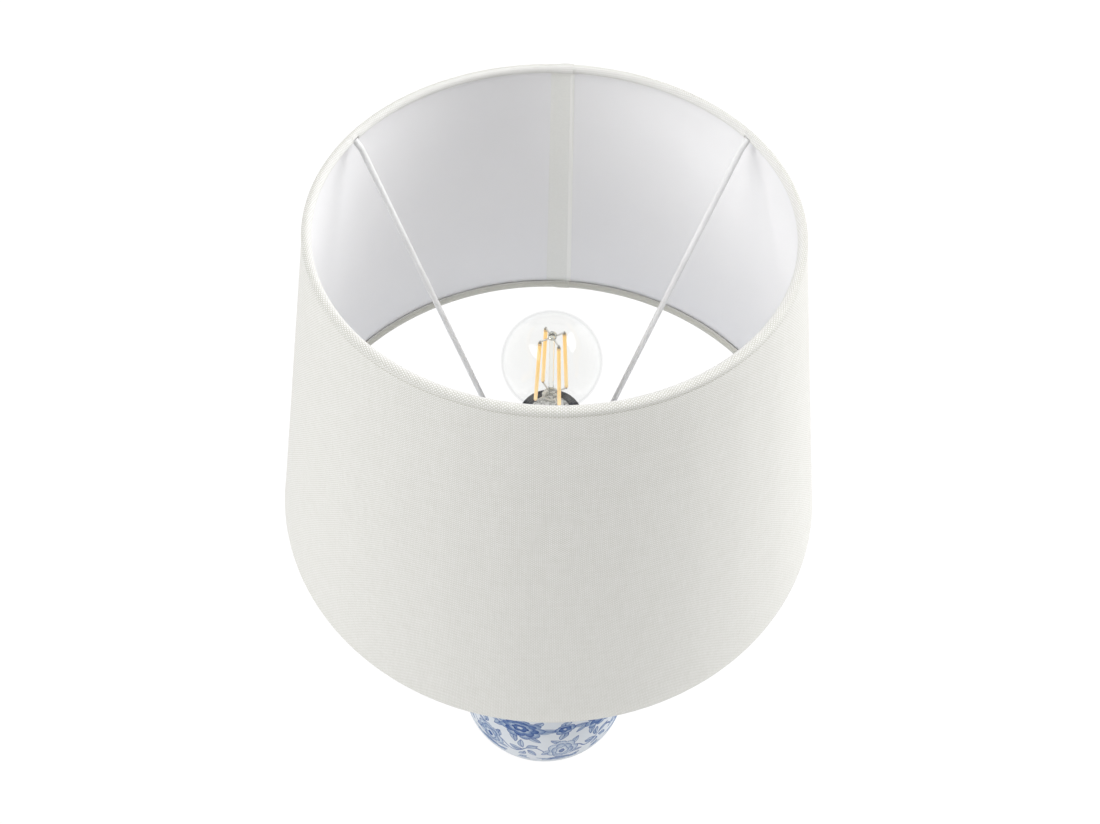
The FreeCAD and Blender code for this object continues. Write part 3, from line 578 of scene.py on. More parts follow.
def woven():
    """Plain weave drawn in the cover's flat pattern, its weft threads paler than its warp threads.

    It opens a little where the top hem bends over, is pinched into a groove along the crease below
    that, with painted shade darkening its threads there, and shows its back where it turns in at the
    foot, darkened there as painted shade.
    """
    finish = Finish("shade_fabric", roughness=0.85, sheen_weight=0.15, sheen_roughness=0.5)
    pattern = finish.tree.nodes.new("ShaderNodeUVMap")
    pattern.uv_map = "weave"
    flat = pattern.outputs[0]
    height, over, gap, thickness = thread_heights(finish, flat)
    fuzz = finish.noise(flat, 2600.0, 2.0) - 0.5
    x, y, level = finish.parts(finish.place())
    reach = distance(x, y)
    bent = level.rise(CREASE_HEIGHT - 0.5 * MM, CREASE_HEIGHT + 1.5 * MM)
    opened = reach.rise(TOP_RING[0] - 1.2 * MM, TOP_RING[0] + 0.6 * MM) * bent
    tone = bent * 0.16 + 0.86 + thickness * 0.18 + fuzz * 0.2 - opened * 0.08
    tone = tone - gap * (opened * 0.4 + 0.6) - over.rise(-0.35, 0.35) * (opened * 0.12 + 0.32)
    # Painted shade: the threads that lie over darken in a dashed line along the crease
    crease = abs(level - CREASE_HEIGHT).rise(0.9 * MM, 0.3 * MM)
    crease = crease * reach.rise(TOP_RING[0], TOP_RING[0] + 0.5 * MM)
    tone = tone * (1.0 - crease * over.rise(-0.3, 0.3) * 0.8)
    colour = finish.ramp(tone, (0.0, CLOTH_GAP), (1.0, CLOTH_LIGHT))
    # The cloth's back where it turns in at the foot, darkened as painted shade under the low roll
    back = reach.rise(LOW_RING[0], LOW_RING[0] - 1.2 * MM)
    back = back * level.rise(LOW_RING[1] + 6 * MM, LOW_RING[1] + 5 * MM)
    finish.put("Base Color", finish.mixed(back * (tone * 0.3 + 0.6), colour, CLOTH_BACK_SHADE))
    finish.bump(height + fuzz * 0.2, 0.00012, bent * 0.4 + 0.3)
    return finish


# Seam tape: its measures are turned into angles at the wall's radius halfway up

TAPE_WIDTH = 16 * MM
TAPE_RADIUS = 149 * MM
TAPE_ARC = TAPE_WIDTH / TAPE_RADIUS
TAPE_START = math.radians(91.8) - TAPE_ARC
TAPE_FOLD = 2.4 * MM / TAPE_RADIUS
TAPE_ROUNDING = 1.1 * MM / TAPE_RADIUS


def laminate():
    finish = Finish("shade_liner", roughness=0.45, specular_ior_level=0.3)
    spot = finish.place()
    cloud = finish.noise(spot, 9.0, 3.0)
    grain = finish.noise(spot, 900.0, 2.0)
    finish.colour(cloud, (0.3, (0.91, 0.906, 0.913)), (0.7, (0.935, 0.931, 0.934)))
    finish.put("Roughness", grain * 0.15 + 0.4)
    finish.bump(grain, 0.00003, 0.5)
    return finish


def paper_tape():
    finish = Finish("seam_tape", roughness=0.6)
    spot = finish.place()
    x, y, _ = finish.parts(spot)
    # The strip's folded edge is painted paler: a painted highlight along the fold
    fold = azimuth_of(x, y).rise(TAPE_START + TAPE_FOLD * 1.3, TAPE_START + TAPE_FOLD)
    grain = finish.noise(spot, 700.0, 4.0)
    flat = finish.ramp(grain, (0.3, (0.89, 0.892, 0.85)), (0.7, (0.92, 0.922, 0.88)))
    finish.put("Base Color", finish.mixed(fold, flat, (0.985, 0.985, 0.945)))
    finish.bump(grain, 0.00004, 0.6)
    return finish


def powder_coat():
    finish = Finish("white_wire", roughness=0.35)
    spot = finish.place()
    peel = finish.noise(spot, 1500.0, 2.0)
    smudge = finish.noise(spot, 60.0, 3.0)
    finish.colour(smudge, (0.35, (0.80, 0.80, 0.80)), (0.6, (0.86, 0.86, 0.86)))
    finish.put("Roughness", smudge * 0.2 + 0.25)
    finish.bump(peel, 0.00004, 0.5)
    return finish


def turned_metal(name, colour, roughness, rings=5000.0):
    """Metal with fine tool marks round the lamp's axis."""
    finish = Finish(name, colour, roughness, metallic=1.0)
    marks = finish.noise(finish.place((0.02, 0.02, 1.0)), rings, 3.0, 0.7)
    cloud = finish.noise(finish.place(), 70.0, 3.0)
    finish.mottle(cloud, 0.86, colour)
    finish.put("Roughness", marks * 0.18 + (roughness - 0.09))
    finish.bump(marks, 0.00002, 0.5)
    return finish


def plated_metal(name, colour, roughness, mottle=220.0):
    """Metal with a mottled plating."""
    finish = Finish(name, colour, roughness, metallic=1.0)
    spot = finish.place()
    patches = finish.noise(spot, mottle, 4.0, 0.6)
    fine = finish.noise(spot, 2500.0, 2.0)
    finish.mottle(patches, 0.8, colour)
    finish.put("Roughness", patches * 0.25 + (roughness - 0.12))
    finish.bump(fine, 0.00002, 0.4)
    return finish


def moulded(name, colour, roughness, grain=1400.0):
    finish = Finish(name, colour, roughness)
    spot = finish.place()
    fine = finish.noise(spot, grain, 3.0)
    dust = finish.noise(spot, 130.0, 4.0, 0.65)
    paler = tuple(part + 0.03 for part in colour)
    finish.colour(dust, (0.4, colour), (0.75, paler))
    finish.put("Roughness", fine * 0.2 + (roughness - 0.1))
    finish.bump(fine, 0.00003, 0.5)
    return finish


def felt():
    finish = Finish("felt", roughness=0.95, sheen_weight=0.4)
    spot = finish.place()
    along_y = finish.noise(finish.place((1, 0.25, 1)), 2200.0, 3.0)
    along_x = finish.noise(finish.place((0.25, 1, 1)), 2200.0, 3.0)
    fibres = along_y.most(along_x)
    tone = fibres * 0.7 + finish.noise(spot, 200.0, 3.0) * 0.3
    finish.colour(tone, (0.3, (0.05, 0.055, 0.05)), (0.75, (0.16, 0.17, 0.16)))
    finish.bump(fibres, 0.0003, 0.8)
    return finish


def ceramic_block():
    finish = Finish("white_ceramic", roughness=0.6)
    spot = finish.place()
    grain = finish.noise(spot, 800.0, 4.0)
    specks = finish.noise(spot, 300.0, 1.0)
    finish.colour(specks, (0.25, (0.60, 0.57, 0.50)), (0.34, (0.76, 0.74, 0.70)))
    finish.bump(grain, 0.00005, 0.6)
    return finish


def phosphor():
    finish = Finish("filament", roughness=0.55)
    spot = finish.place()
    _, _, height = finish.parts(spot)
    low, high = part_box("filament_1")
    pale = ((height - low.z) * (1 / (high.z - low.z))).rise(0.75, 0.0)
    grain = finish.noise(spot, 1800.0, 3.0)
    colour = finish.mixed(pale * 0.5, (0.93, 0.62, 0.23), (0.95, 0.80, 0.52))
    colour = finish.mixed(grain.rise(0.6, 0.3) * 0.3, colour, (0.85, 0.52, 0.17))
    finish.put("Base Color", colour)
    # Painted glow: the unlit filaments give off light in their own colour
    finish.put("Emission Color", colour)
    finish.put("Emission Strength", 0.5)
    finish.bump(grain, 0.00005, 0.6)
    return finish


def thin_glass(name, pale, edge, ior):
    """A bulb's thin wall: light goes straight through, less so at its edges, and its surface glints."""
    finish = Finish(name, (0.0, 0.0, 0.0), 0.03, ior=ior)
    spot = finish.place()
    tree = finish.tree
    through = tree.nodes.new("ShaderNodeBsdfTransparent")
    feed(tree, through.inputs["Color"], finish.ramp(finish.facing(), (0.45, pale), (0.85, edge)))
    finish.put("Specular IOR Level", finish.facing().rise(0.75, 0.3) * 0.5)
    finish.put("Roughness", finish.noise(spot, 60.0, 2.0) * 0.08)
    finish.bump(finish.noise(spot, 45.0, 1.0), 0.0002, 0.5)
    show_both(tree, finish.output, finish.shader, through)
    return finish


# Height of the pinched end of the bulb's stem, in metres

PINCH = 0.4383


def solid_glass(name, colour, ior, clear=0.97):
    """Rod glass, crumpled from the pinch down: milk-white folds as painted glints, clear creases."""
    finish = Finish(name, colour, 0.0, ior=ior)
    spot = finish.place()
    _, _, height = finish.parts(spot)
    pinched = height.rise(PINCH + 6 * MM, PINCH + 3 * MM)
    folds = abs(finish.noise(spot, 230.0, 1.5) - 0.5)
    # The milk-white folds stand in for the crumpled pinch's glints: painted highlights
    milky = folds.rise(0.0, 0.07)
    finish.put("Transmission Weight", clear - pinched * (milky * 0.88 + 0.05))
    finish.put("Roughness", pinched * 0.06)
    finish.bump(folds, 0.0025, pinched * 0.9 + 0.02)
    return finish


# Painted jar

CELLS = 7
CURVE_STEPS = 40


def wall_rings():
    """The height and radius of each ring of points on the jar's outer wall, from the foot up."""
    rings = {}
    for vertex in nodes["jar_body"].data.vertices:
        x, y, z = vertex.co
        radius = math.hypot(x, y)
        outwards = radius and (vertex.normal.x * x + vertex.normal.y * y) / radius > 0.15
        if outwards:
            level = round(z, 4)
            rings[level] = max(rings.get(level, 0.0), radius)
    return sorted(rings.items())


def cells_up(finish, height):
    """How far a height is above the belly along the wall, in cells that are as high as they are wide."""
    rings = wall_rings()
    travelled = [0.0]
    for (below, radius), (above, next_radius) in zip(rings, rings[1:]):
        step = math.hypot(above - below, next_radius - radius)
        travelled.append(travelled[-1] + step * 2 / (radius + next_radius))
    belly = max(range(len(rings)), key=lambda number: rings[number][1])
    low, high, whole = rings[0][0], rings[-1][0], travelled[-1]
    node = finish.tree.nodes.new("ShaderNodeFloatCurve")
    feed(finish.tree, node.inputs["Value"], (height - low) * (1 / (high - low)))
    line = node.mapping.curves[0]
    line.points[0].location = (0.0, 0.0)
    line.points[1].location = (1.0, 1.0)
    for step in range(1, CURVE_STEPS):
        wanted = low + (high - low) * step / CURVE_STEPS
        after = next(number for number, (level, _) in enumerate(rings) if level >= wanted)
        share = (wanted - rings[after - 1][0]) / (rings[after][0] - rings[after - 1][0])
        amount = travelled[after - 1] + (travelled[after] - travelled[after - 1]) * share
        line.points.new(step / CURVE_STEPS, amount / whole)
    node.mapping.update()
    scale = CELLS / TURN
    return Value(finish.tree, node.outputs[0]) * (whole * scale) - travelled[belly] * scale


def leaf(x, y, length, width):
    """A leaf along x from 0 to length: where it is, the ink of its lines and that of its wash."""
    share = x * (1 / length)
    edge = (share - share * share) * (4 * width) - abs(y)
    inside = edge.rise(0.0, 0.004)
    outline = edge.rise(0.014, 0.007)
    midrib = abs(y).rise(0.006, 0.003)
    hatching = ((x - abs(y) * 0.7) * 330.0).sin().rise(0.1, 0.7)
    wash = hatching * (y * 60.0).rise(-0.2, 0.2) * 0.4 + 0.28
    return inside, outline.most(midrib) * 0.95, wash


def leaves_round(ink, x, y, count, start, length, width, phase, swirl):
    """A ring of leaves round a point, their stems turned by swirl."""
    reach = distance(x, y)
    angle = azimuth_of(x, y) + reach * swirl + phase
    wedge = (angle * (count / TURN)).fraction() - 0.5
    local = wedge * (TURN / count)
    inside, lines, wash = leaf(reach * local.cos() - start, reach * local.sin(), length, width)
    return ink.toward(lines.most(wash), inside)


def flower(ink, x, y, rings):
    """Petal rings drawn from the outermost in; each is (radius, petals, phase, tone)."""
    reach = distance(x, y)
    angle = azimuth_of(x, y)
    for radius, petals, phase, tone in rings:
        scallop = abs((angle * (petals / 2) + phase).cos()).power(0.55)
        edge = (scallop * 0.22 + 0.80) * radius - reach
        inside = edge.rise(0.0, 0.004)
        outline = edge.rise(0.013, 0.006)
        veins = (angle * (petals * 7.0) + scallop * 2.0).sin().rise(0.0, 0.8) * edge.rise(0.075, 0.0)
        depth = (1 - edge.rise(0.0, radius * 0.42)) * 0.25
        ink = ink.toward(outline.most(veins * 0.3 + depth + tone), inside)
    return ink


BIG_FLOWER = (
    (0.27, 9, 0.3, 0.20),
    (0.21, 8, 0.9, 0.50),
    (0.155, 7, 0.1, 0.22),
    (0.10, 6, 0.6, 0.72),
    (0.045, 5, 0.2, 0.08),
)
MIDDLE_FLOWER = ((0.20, 7, 0.2, 0.04), (0.145, 6, 0.7, 0.20), (0.09, 5, 0.1, 0.06), (0.04, 4, 0.0, 0.6))
SMALL_FLOWER = ((0.125, 6, 0.0, 0.22), (0.08, 5, 0.8, 0.62), (0.033, 4, 0.0, 0.1))

# Leaf rings: the number of leaves, where they start, their length, width, phase and swirl

BIG_LEAVES = (7, 0.17, 0.22, 0.052, 0.1, -1.3)
MIDDLE_LEAVES = (5, 0.13, 0.17, 0.048, 0.2, -1.6)
SMALL_LEAVES = (4, 0.06, 0.22, 0.052, 0.4, 1.8)
SPRAY_LEAVES = (5, 0.03, 0.18, 0.045, 0.9, 2.2)

PATTERN_TURN = 0.507
PATTERN_RISE = 1.19
PATTERN_STRETCH = 0.5
MIDDLE_TURN = 0.485
PAINT_START = (0.006, 0.010)
PAINT_END = (0.2935, 0.2915)
BARE_FOOT = (0.0030, 0.0024)


def brushwork(finish, spot, height):
    """Rows of big and small flowers, and between them a stem with middle flowers and sprays."""
    x, y, _ = finish.parts(spot)
    sway, lift, _ = finish.parts(finish.noise_node(spot, 38.0).outputs["Color"])
    around = azimuth_of(x, y) * (CELLS / TURN) + PATTERN_TURN + (sway - 0.5) * 0.07
    up = cells_up(finish, height) * PATTERN_STRETCH + PATTERN_RISE + (lift - 0.5) * 0.05
    row = up.fraction() - 0.5
    crossing = (up + 0.5).fraction() - 0.5
    row_shift = (up.floor() * 0.5).fraction()
    crossing_shift = ((up + 0.5).floor() * 0.5).fraction()
    big_x = (around + row_shift).fraction() - 0.5
    small_x = (around + row_shift + 0.5).fraction() - 0.5
    middle_x = (around + crossing_shift + MIDDLE_TURN).fraction() - 0.5
    spray_x = (around + crossing_shift + (MIDDLE_TURN + 0.5)).fraction() - 0.5

    ink = abs(crossing - (around * TURN * 2).sin() * 0.07).rise(0.014, 0.007) * 0.8
    ink = leaves_round(ink, spray_x, crossing, *SPRAY_LEAVES)
    ink = leaves_round(ink, small_x, row, *SMALL_LEAVES)
    ink = leaves_round(ink, middle_x, crossing, *MIDDLE_LEAVES)
    ink = leaves_round(ink, big_x, row, *BIG_LEAVES)
    ink = flower(ink, small_x, row, SMALL_FLOWER)
    ink = flower(ink, middle_x, crossing, MIDDLE_FLOWER)
    return flower(ink, big_x, row, BIG_FLOWER)


def painted_glaze():
    finish = Finish("glazed_jar", roughness=0.1, ior=1.5)
    spot = finish.place()
    _, _, height = finish.parts(spot)
    brush = finish.noise(spot, 260.0, 3.0) - 0.5
    pool = finish.noise(spot, 55.0, 2.0) - 0.5
    ink = brushwork(finish, spot, height) * (brush * 0.6 + pool * 0.8 + 1.0)
    ink = ink * height.rise(*PAINT_END) * height.rise(*PAINT_START)
    colour = finish.ramp(
        ink,
        (0.0, (0.685, 0.72, 0.76)),
        (0.22, (0.48, 0.555, 0.65)),
        (0.50, (0.187, 0.272, 0.455)),
        (0.85, (0.068, 0.125, 0.325)),
        (1.0, (0.032, 0.065, 0.235)),
    )
    bare = height.rise(*BARE_FOOT)
    grit = finish.noise(spot, 900.0, 3.0)
    clay = finish.ramp(grit, (0.3, (0.58, 0.53, 0.46)), (0.7, (0.70, 0.66, 0.60)))
    finish.put("Base Color", finish.mixed(bare, colour, clay))
    finish.put("Roughness", bare * 0.6 + 0.09)
    finish.put("Specular IOR Level", finish.facing().rise(0.8, 0.4) * 0.5)
    finish.bump(pool * 0.7 + grit * bare * 0.3, 0.0006, 0.35)
    return finish


CLOTH = woven()
GLAZE = painted_glaze()
LAMINATE = laminate()
TAPE = paper_tape()
WHITE_WIRE = powder_coat()
NICKEL = turned_metal("satin_nickel", (0.62, 0.60, 0.57), 0.28)
ZINC = plated_metal("zinc_steel", (0.58, 0.59, 0.60), 0.35)
BRASS = plated_metal("brass", (0.74, 0.56, 0.27), 0.3)
CAP_METAL = plated_metal("cap_metal", (0.66, 0.64, 0.60), 0.25)
LEAD_METAL = plated_metal("lead_metal", (0.80, 0.79, 0.75), 0.5)
BLACK = moulded("black_plastic", (0.022, 0.022, 0.023), 0.38)
RUBBER = moulded("rubber", (0.04, 0.04, 0.04), 0.7)
CAP_GLASS = moulded("cap_glass", (0.012, 0.012, 0.016), 0.2)
CERAMIC = ceramic_block()
FELT = felt()
PHOSPHOR = phosphor()
DARK_METAL = plated_metal("pin_metal", (0.42, 0.40, 0.36), 0.5)
BULB_GLASS = thin_glass("bulb_glass", (0.946, 0.947, 0.944), (0.936, 0.938, 0.938), 1.3)
STEM_GLASS = solid_glass("stem_glass", (0.97, 0.97, 0.93), 1.25)
BEAD_GLASS = solid_glass("bead_glass", (0.90, 0.91, 0.86), 1.2, 0.85)

FINISHED_NODES = (
    (GLAZE, ["jar_body"]),
    (RUBBER, ["cable_grommet", "base_gasket", "neck_gasket"]),
    (ZINC, ["threaded_rod", "base_washer", "base_nut", "holder_grub_screw"]),
    (NICKEL, ["neck_cap", "lower_collar", "neck_tube", "upper_collar"]),
    (BLACK, ["holder_cap", "shade_ring_nut"]),
    (CERAMIC, ["contact_block"]),
    (BRASS, ["terminal_screw_1", "terminal_screw_2", "centre_contact", "side_contact"]),
    (WHITE_WIRE, ["fitter_ring", "shade_arm_1", "shade_arm_2", "shade_arm_3"]),
    (WHITE_WIRE, ["shade_top_ring", "shade_bottom_ring"]),
    (BULB_GLASS, ["bulb_glass"]),
    (CAP_GLASS, ["bulb_insulator"]),
    (CAP_METAL, ["bulb_tip_contact"]),
    (PHOSPHOR, ["filament_1", "filament_2", "filament_3", "filament_4"]),
    (LEAD_METAL, ["upper_leads", "lower_leads"]),
)

for finish, node_names in FINISHED_NODES:
    for node_name in node_names:
        nodes[node_name].data.materials.clear()
        nodes[node_name].data.materials.append(finish.material)


# Shade's stiff lining, its cloth cover and the strip over the lining's seam

LINING_OUTER = 1.7 * MM
LINING_INNER = 1.2 * MM
STRIP_OUTER = 1.15 * MM
STRIP_STEPS = 96
ROWS_UP = 40


def thin_wall(outer, inner, margin, angles):
    """Points of a thin wall between two distances from the line of the rings, a margin short of both.

    inner(angle) is the distance of the nearer face. Each column goes up the outer face and down the inner.
    """
    foot, head = margin, SLANT - margin
    points = []
    for angle in angles:
        side = [(outer, foot + (head - foot) * step / ROWS_UP) for step in range(ROWS_UP + 1)]
        side += [(inner(angle), along) for _, along in reversed(side)]
        for aside, along in side:
            radius, height = beside(LOW_RING, aside, along)
            points.append((radius * math.cos(angle), radius * math.sin(angle), height))
    return points


def folded_edge(angle):
    """The strip's near face: thicker at its folded edge, and thinned to almost nothing at both edges."""
    inwards = angle - TAPE_START
    fold = eased((TAPE_FOLD * 1.3 - inwards) / (TAPE_FOLD * 0.3))
    rounding = eased(inwards / TAPE_ROUNDING) * eased((TAPE_ARC - inwards) / TAPE_ROUNDING)
    return 1.13 * MM - (0.15 + 0.12 * fold) * MM * rounding


def lining():
    angles = [TURN * step / 360 for step in range(360)]
    points = thin_wall(LINING_OUTER, lambda angle: LINING_INNER, 1.3 * MM, angles)
    faces = loop_faces(len(angles), 2 * (ROWS_UP + 1))
    wall = piece("shade_lining", points, faces, "shade", "shade_liner", LAMINATE)
    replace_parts(wall, "shade_liner")


def seam_strip():
    angles = [TAPE_START + TAPE_ARC * step / STRIP_STEPS for step in range(STRIP_STEPS + 1)]
    points = thin_wall(STRIP_OUTER, folded_edge, 3.0 * MM, angles)
    faces = bar_faces(len(angles), 2 * (ROWS_UP + 1))
    strip = piece("seam_strip", points, faces, "shade", "seam_tape", TAPE)
    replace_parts(strip, "shade_seam_tape")


lining()
cover()
seam_strip()


# Lampholder's shell with its threaded skirt and ribbed grip, its thread sleeve, and the bulb's cap

def wave(turns):
    """0 at whole turns and 1 halfway between."""
    return 0.5 - 0.5 * math.cos(TURN * turns)


def filled(corners, step):
    """A closed outline in millimetres, with more points along its long upright sides, as metres."""
    outline = []
    for (radius, height), (after_radius, after_height) in zip(corners, corners[1:] + corners[:1]):
        count = max(1, round(abs(after_height - height) / step))
        for number in range(count):
            share = number / count
            outline.append((
                (radius + (after_radius - radius) * share) * MM,
                (height + (after_height - height) * share) * MM,
            ))
    return outline


# Outlines of the shell, the sleeve and the cap: radius and height in millimetres

SKIRT = 19.5
GRIP = 21.0
SHELL = [
    (18.8, 371.7), (GRIP, 371.7), (GRIP, 385.8), (24.2, 385.8), (24.5, 386.1), (24.5, 387.7),
    (24.2, 388.0), (SKIRT, 388.0), (SKIRT, 418.2), (18.7, 419.0), (14.2, 419.0), (14.2, 384.4),
    (11.0, 384.4), (11.0, 382.4), (16.4, 382.4), (16.4, 376.3), (18.8, 376.3),
]
SLEEVE = [(13.3, 385.0), (13.8, 385.0), (13.8, 414.0), (13.3, 414.0)]
CAP = [(10.6, 397.9), (11.1, 397.9), (13.1, 399.9), (13.1, 419.8), (12.6, 419.8), (12.6, 399.9)]
SKIRT_PITCH, SKIRT_DEPTH = 2.6, 0.75
CAP_PITCH, CAP_DEPTH = 3.63, 0.85
SLEEVE_DEPTH = 0.3
RIBS, RIB_DEPTH = 60, 0.4


def between(height, foot, run_in, head, run_out):
    """1 between two heights and 0 outside them, easing in over the foot and out over the head."""
    return eased((height - foot) / run_in) * eased((head - height) / run_out)


def threaded_shell():
    outline = filled(SHELL, 0.35)

    def swell(angle, number):
        radius, height = (value / MM for value in outline[number])
        if abs(radius - SKIRT) < 0.01:
            fade = between(height, 388.6, 2, 418, 1.5)
            return -SKIRT_DEPTH * MM * fade * wave(height / SKIRT_PITCH - angle / TURN)
        if abs(radius - GRIP) < 0.01:
            fade = between(height, 372.5, 1.5, 385, 1.5)
            return -RIB_DEPTH * MM * fade * wave(angle * RIBS / TURN)
        return 0

    points, faces = spun(outline, 300, swell)
    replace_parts(piece("threaded_shell", points, faces, "base", "black_plastic", BLACK), "holder_shell")


def threaded_sleeve():
    outline = filled(SLEEVE, 0.4)

    def swell(angle, number):
        return SLEEVE_DEPTH * MM * wave(outline[number][1] / MM / CAP_PITCH - angle / TURN)

    points, faces = spun(outline, 96, swell)
    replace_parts(piece("threaded_sleeve", points, faces, "base", "zinc_steel", ZINC), "screw_sleeve")


def threaded_cap():
    outline = filled(CAP, 0.35)

    def swell(angle, number):
        height = outline[number][1] / MM
        fade = between(height, 399.5, 2, 416.5, 2)
        return -CAP_DEPTH * MM * fade * wave(height / CAP_PITCH - angle / TURN)

    points, faces = spun(outline, 120, swell)
    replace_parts(piece("threaded_cap", points, faces, "bulb", "cap_metal", CAP_METAL), "bulb_cap")


threaded_shell()
threaded_sleeve()
threaded_cap()


# Inside of the bulb: pinched stem, exhaust tube, lead-in wires, bead and the filaments' end pins.
# Heights from the frame are in metres and half widths in millimetres.

STEM_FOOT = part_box("bulb_stem")[0].z
STEM_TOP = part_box("bulb_stem")[1].z
BORE = 3.4
STEM_TUBE = 4.2
ROD = 1.6
TIP = 0.05
BEAD = 2.7
FLARE_STEPS = 5


def oval(profile, sides=48):
    """The points and faces of a shape of oval rings, closed at both ends.

    Each ring is its half width and half depth in millimetres, and its height in metres.
    """
    points = []
    for wide, deep, height in profile:
        for step in range(sides):
            angle = TURN * step / sides
            points.append((wide * math.cos(angle) * MM, deep * math.sin(angle) * MM, height))
    return points, bar_faces(len(profile), sides)


def above_pinch(rings):
    return [(wide, deep, PINCH + rise * MM) for wide, deep, rise in rings]


def stem():
    """Down its hollow, round its flared foot, up its outside, over the pinch and up the rod."""
    profile = above_pinch([(TIP, TIP, -7.0), (2.0, 1.2, -7.4), (3.3, 2.8, -9.5), (BORE, BORE, -11)])
    profile.append((BORE, BORE, STEM_FOOT + 5 * MM))
    for step in range(FLARE_STEPS + 1):
        share = step / FLARE_STEPS
        half = BORE + 8.0 * share**2
        profile.append((half, half, STEM_FOOT + (5 - 4.8 * share) * MM))
    profile += [(12.2, 12.2, STEM_FOOT), (12.3, 12.3, STEM_FOOT + 0.5 * MM)]
    for step in range(FLARE_STEPS + 1):
        share = 1 - step / FLARE_STEPS
        half = STEM_TUBE + 7.9 * share**2
        profile.append((half, half, STEM_FOOT + (6 - 5.0 * share) * MM))
    profile += above_pinch([(STEM_TUBE, STEM_TUBE, -10), (4.5, 3.9, -7.5), (5.3, 2.4, -5)])
    profile += above_pinch([(5.6, 2.0, -3), (5.3, 2.3, -1.6), (5.6, 2.0, 0), (5.2, 2.3, 1.2)])
    profile += above_pinch([(3.6, 2.2, 2.4), (2.0, 1.9, 4)])
    profile += above_pinch([(ROD, ROD, rise) for rise in (6, 6.5, 7.5, 12, 20, 30)])
    profile += [(ROD, ROD, STEM_TOP - drop * MM) for drop in (12, 4, 2.5, 2)]
    profile += [(1.0, 1.0, STEM_TOP - 0.6 * MM), (TIP, TIP, STEM_TOP - 0.4 * MM)]
    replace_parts(piece("pinched_stem", *oval(profile), "bulb", "clear_glass", STEM_GLASS), "bulb_stem")


def hoop(centre, radius, wire, tilt=0.0, sides=10, steps=28):
    """The points and faces of an upright ring of wire that faces the front and leans back by tilt."""
    points = []
    for number in range(steps):
        around = TURN * number / steps
        for step in range(sides):
            angle = TURN * step / sides
            reach = radius + wire * math.cos(angle)
            points.append(centre + Vector((
                reach * math.cos(around),
                wire * math.sin(angle) + math.sin(tilt) * reach * math.sin(around),
                math.cos(tilt) * reach * math.sin(around),
            )))
    return points, loop_faces(steps, sides)


# Each fold's place aside and its size, in millimetres

FOLDS = ((-4.2, 0.75), (-2.4, 0.6), (2.2, 0.6), (4.1, 0.8))
FOLD_STEPS = 8


def fold(number, x, size):
    """One of the pinch's folds: a wavy bar, thickest halfway down."""
    path, radii = [], []
    for step in range(FOLD_STEPS + 1):
        share = step / FOLD_STEPS
        sway = 0.35 * math.sin(share * 9 + number * 1.7)
        path.append(Vector(((x + sway) * MM, -2.1 * MM, PINCH + (1.6 - 7.5 * share) * MM)))
        radii.append(size * MM * math.sin(math.pi * (0.15 + 0.7 * share)))
    return tube(path, radii, 10)


def exhaust():
    """The tube that the air was drawn out by, its melted mouths beside the pinch, and the folds."""
    heights = (STEM_FOOT - 6 * MM, PINCH - 12 * MM, PINCH - 8.2 * MM)
    pipe = tube([Vector((0, 0, height)) for height in heights], [1.5 * MM, 1.5 * MM, 1.2 * MM], 20)
    mouths = [
        hoop(Vector((-0.4 * MM, -2.6 * MM, PINCH - 3.4 * MM)), 1.5 * MM, 0.45 * MM, 0.3),
        hoop(Vector((0.9 * MM, 2.5 * MM, PINCH - 2.4 * MM)), 1.2 * MM, 0.4 * MM, -0.3),
    ]
    folds = [fold(number, *fold_size) for number, fold_size in enumerate(FOLDS)]
    points, faces = gathered([pipe, *mouths, *folds])
    piece("exhaust_tube", points, faces, "bulb", "clear_glass", STEM_GLASS)


def lead_in_wires():
    shapes = []
    for side in (-1, 1):
        path = [
            Vector((side * 3.6 * MM, 0, PINCH + 2.2 * MM)),
            Vector((side * 3.3 * MM, 0, PINCH - 5 * MM)),
            Vector((side * 2.6 * MM, 0.3 * MM, PINCH - 12 * MM)),
            Vector((side * 2.8 * MM, 0, STEM_FOOT - 4 * MM)),
            Vector((side * 6.0 * MM, 0, STEM_FOOT - 10 * MM)),
        ]
        shapes.append(tube(path, [0.3 * MM] * 5, 8))
        for turn in range(4):
            spot = path[1] + Vector((0, -0.4 * MM, (turn * 1.1 - 0.6) * MM))
            shapes.append(hoop(spot, 0.75 * MM, 0.18 * MM, tilt=1.1, sides=6, steps=14))
    points, faces = gathered(shapes)
    piece("lead_in_wires", points, faces, "bulb", "lead_metal", LEAD_METAL)


def bead():
    profile = []
    for step in range(13):
        angle = math.pi * (step / 12 - 0.5)
        size = BEAD * max(math.cos(angle), 0.03)
        profile.append((size, size, STEM_TOP - 1.0 * MM + 2.0 * MM * math.sin(angle)))
    piece("stem_bead", *oval(profile, 32), "bulb", "clear_glass", BEAD_GLASS)


FIRST_FILAMENT = math.radians(29)
FILAMENT_FOOT = 10.6 * MM
FILAMENT_HEAD = 7.9 * MM
PIN_RADII = [0.5 * MM, 1.22 * MM]


def filament_pins():
    low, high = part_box("filament_1")
    shapes = []
    for number in range(4):
        azimuth = FIRST_FILAMENT + TURN / 4 * number
        outwards = Vector((math.cos(azimuth), math.sin(azimuth), 0))
        foot = outwards * FILAMENT_FOOT + Vector((0, 0, low.z))
        head = outwards * FILAMENT_HEAD + Vector((0, 0, high.z))
        along = (head - foot).normalized()
        shapes.append(tube([foot - along * 1.6 * MM, foot + along * 0.9 * MM], PIN_RADII))
        shapes.append(tube([head + along * 1.6 * MM, head - along * 0.9 * MM], PIN_RADII))
    points, faces = gathered(shapes)
    piece("filament_pins", points, faces, "bulb", "lead_metal", DARK_METAL)


stem()
exhaust()
lead_in_wires()
bead()
filament_pins()


# Felt pad under the foot

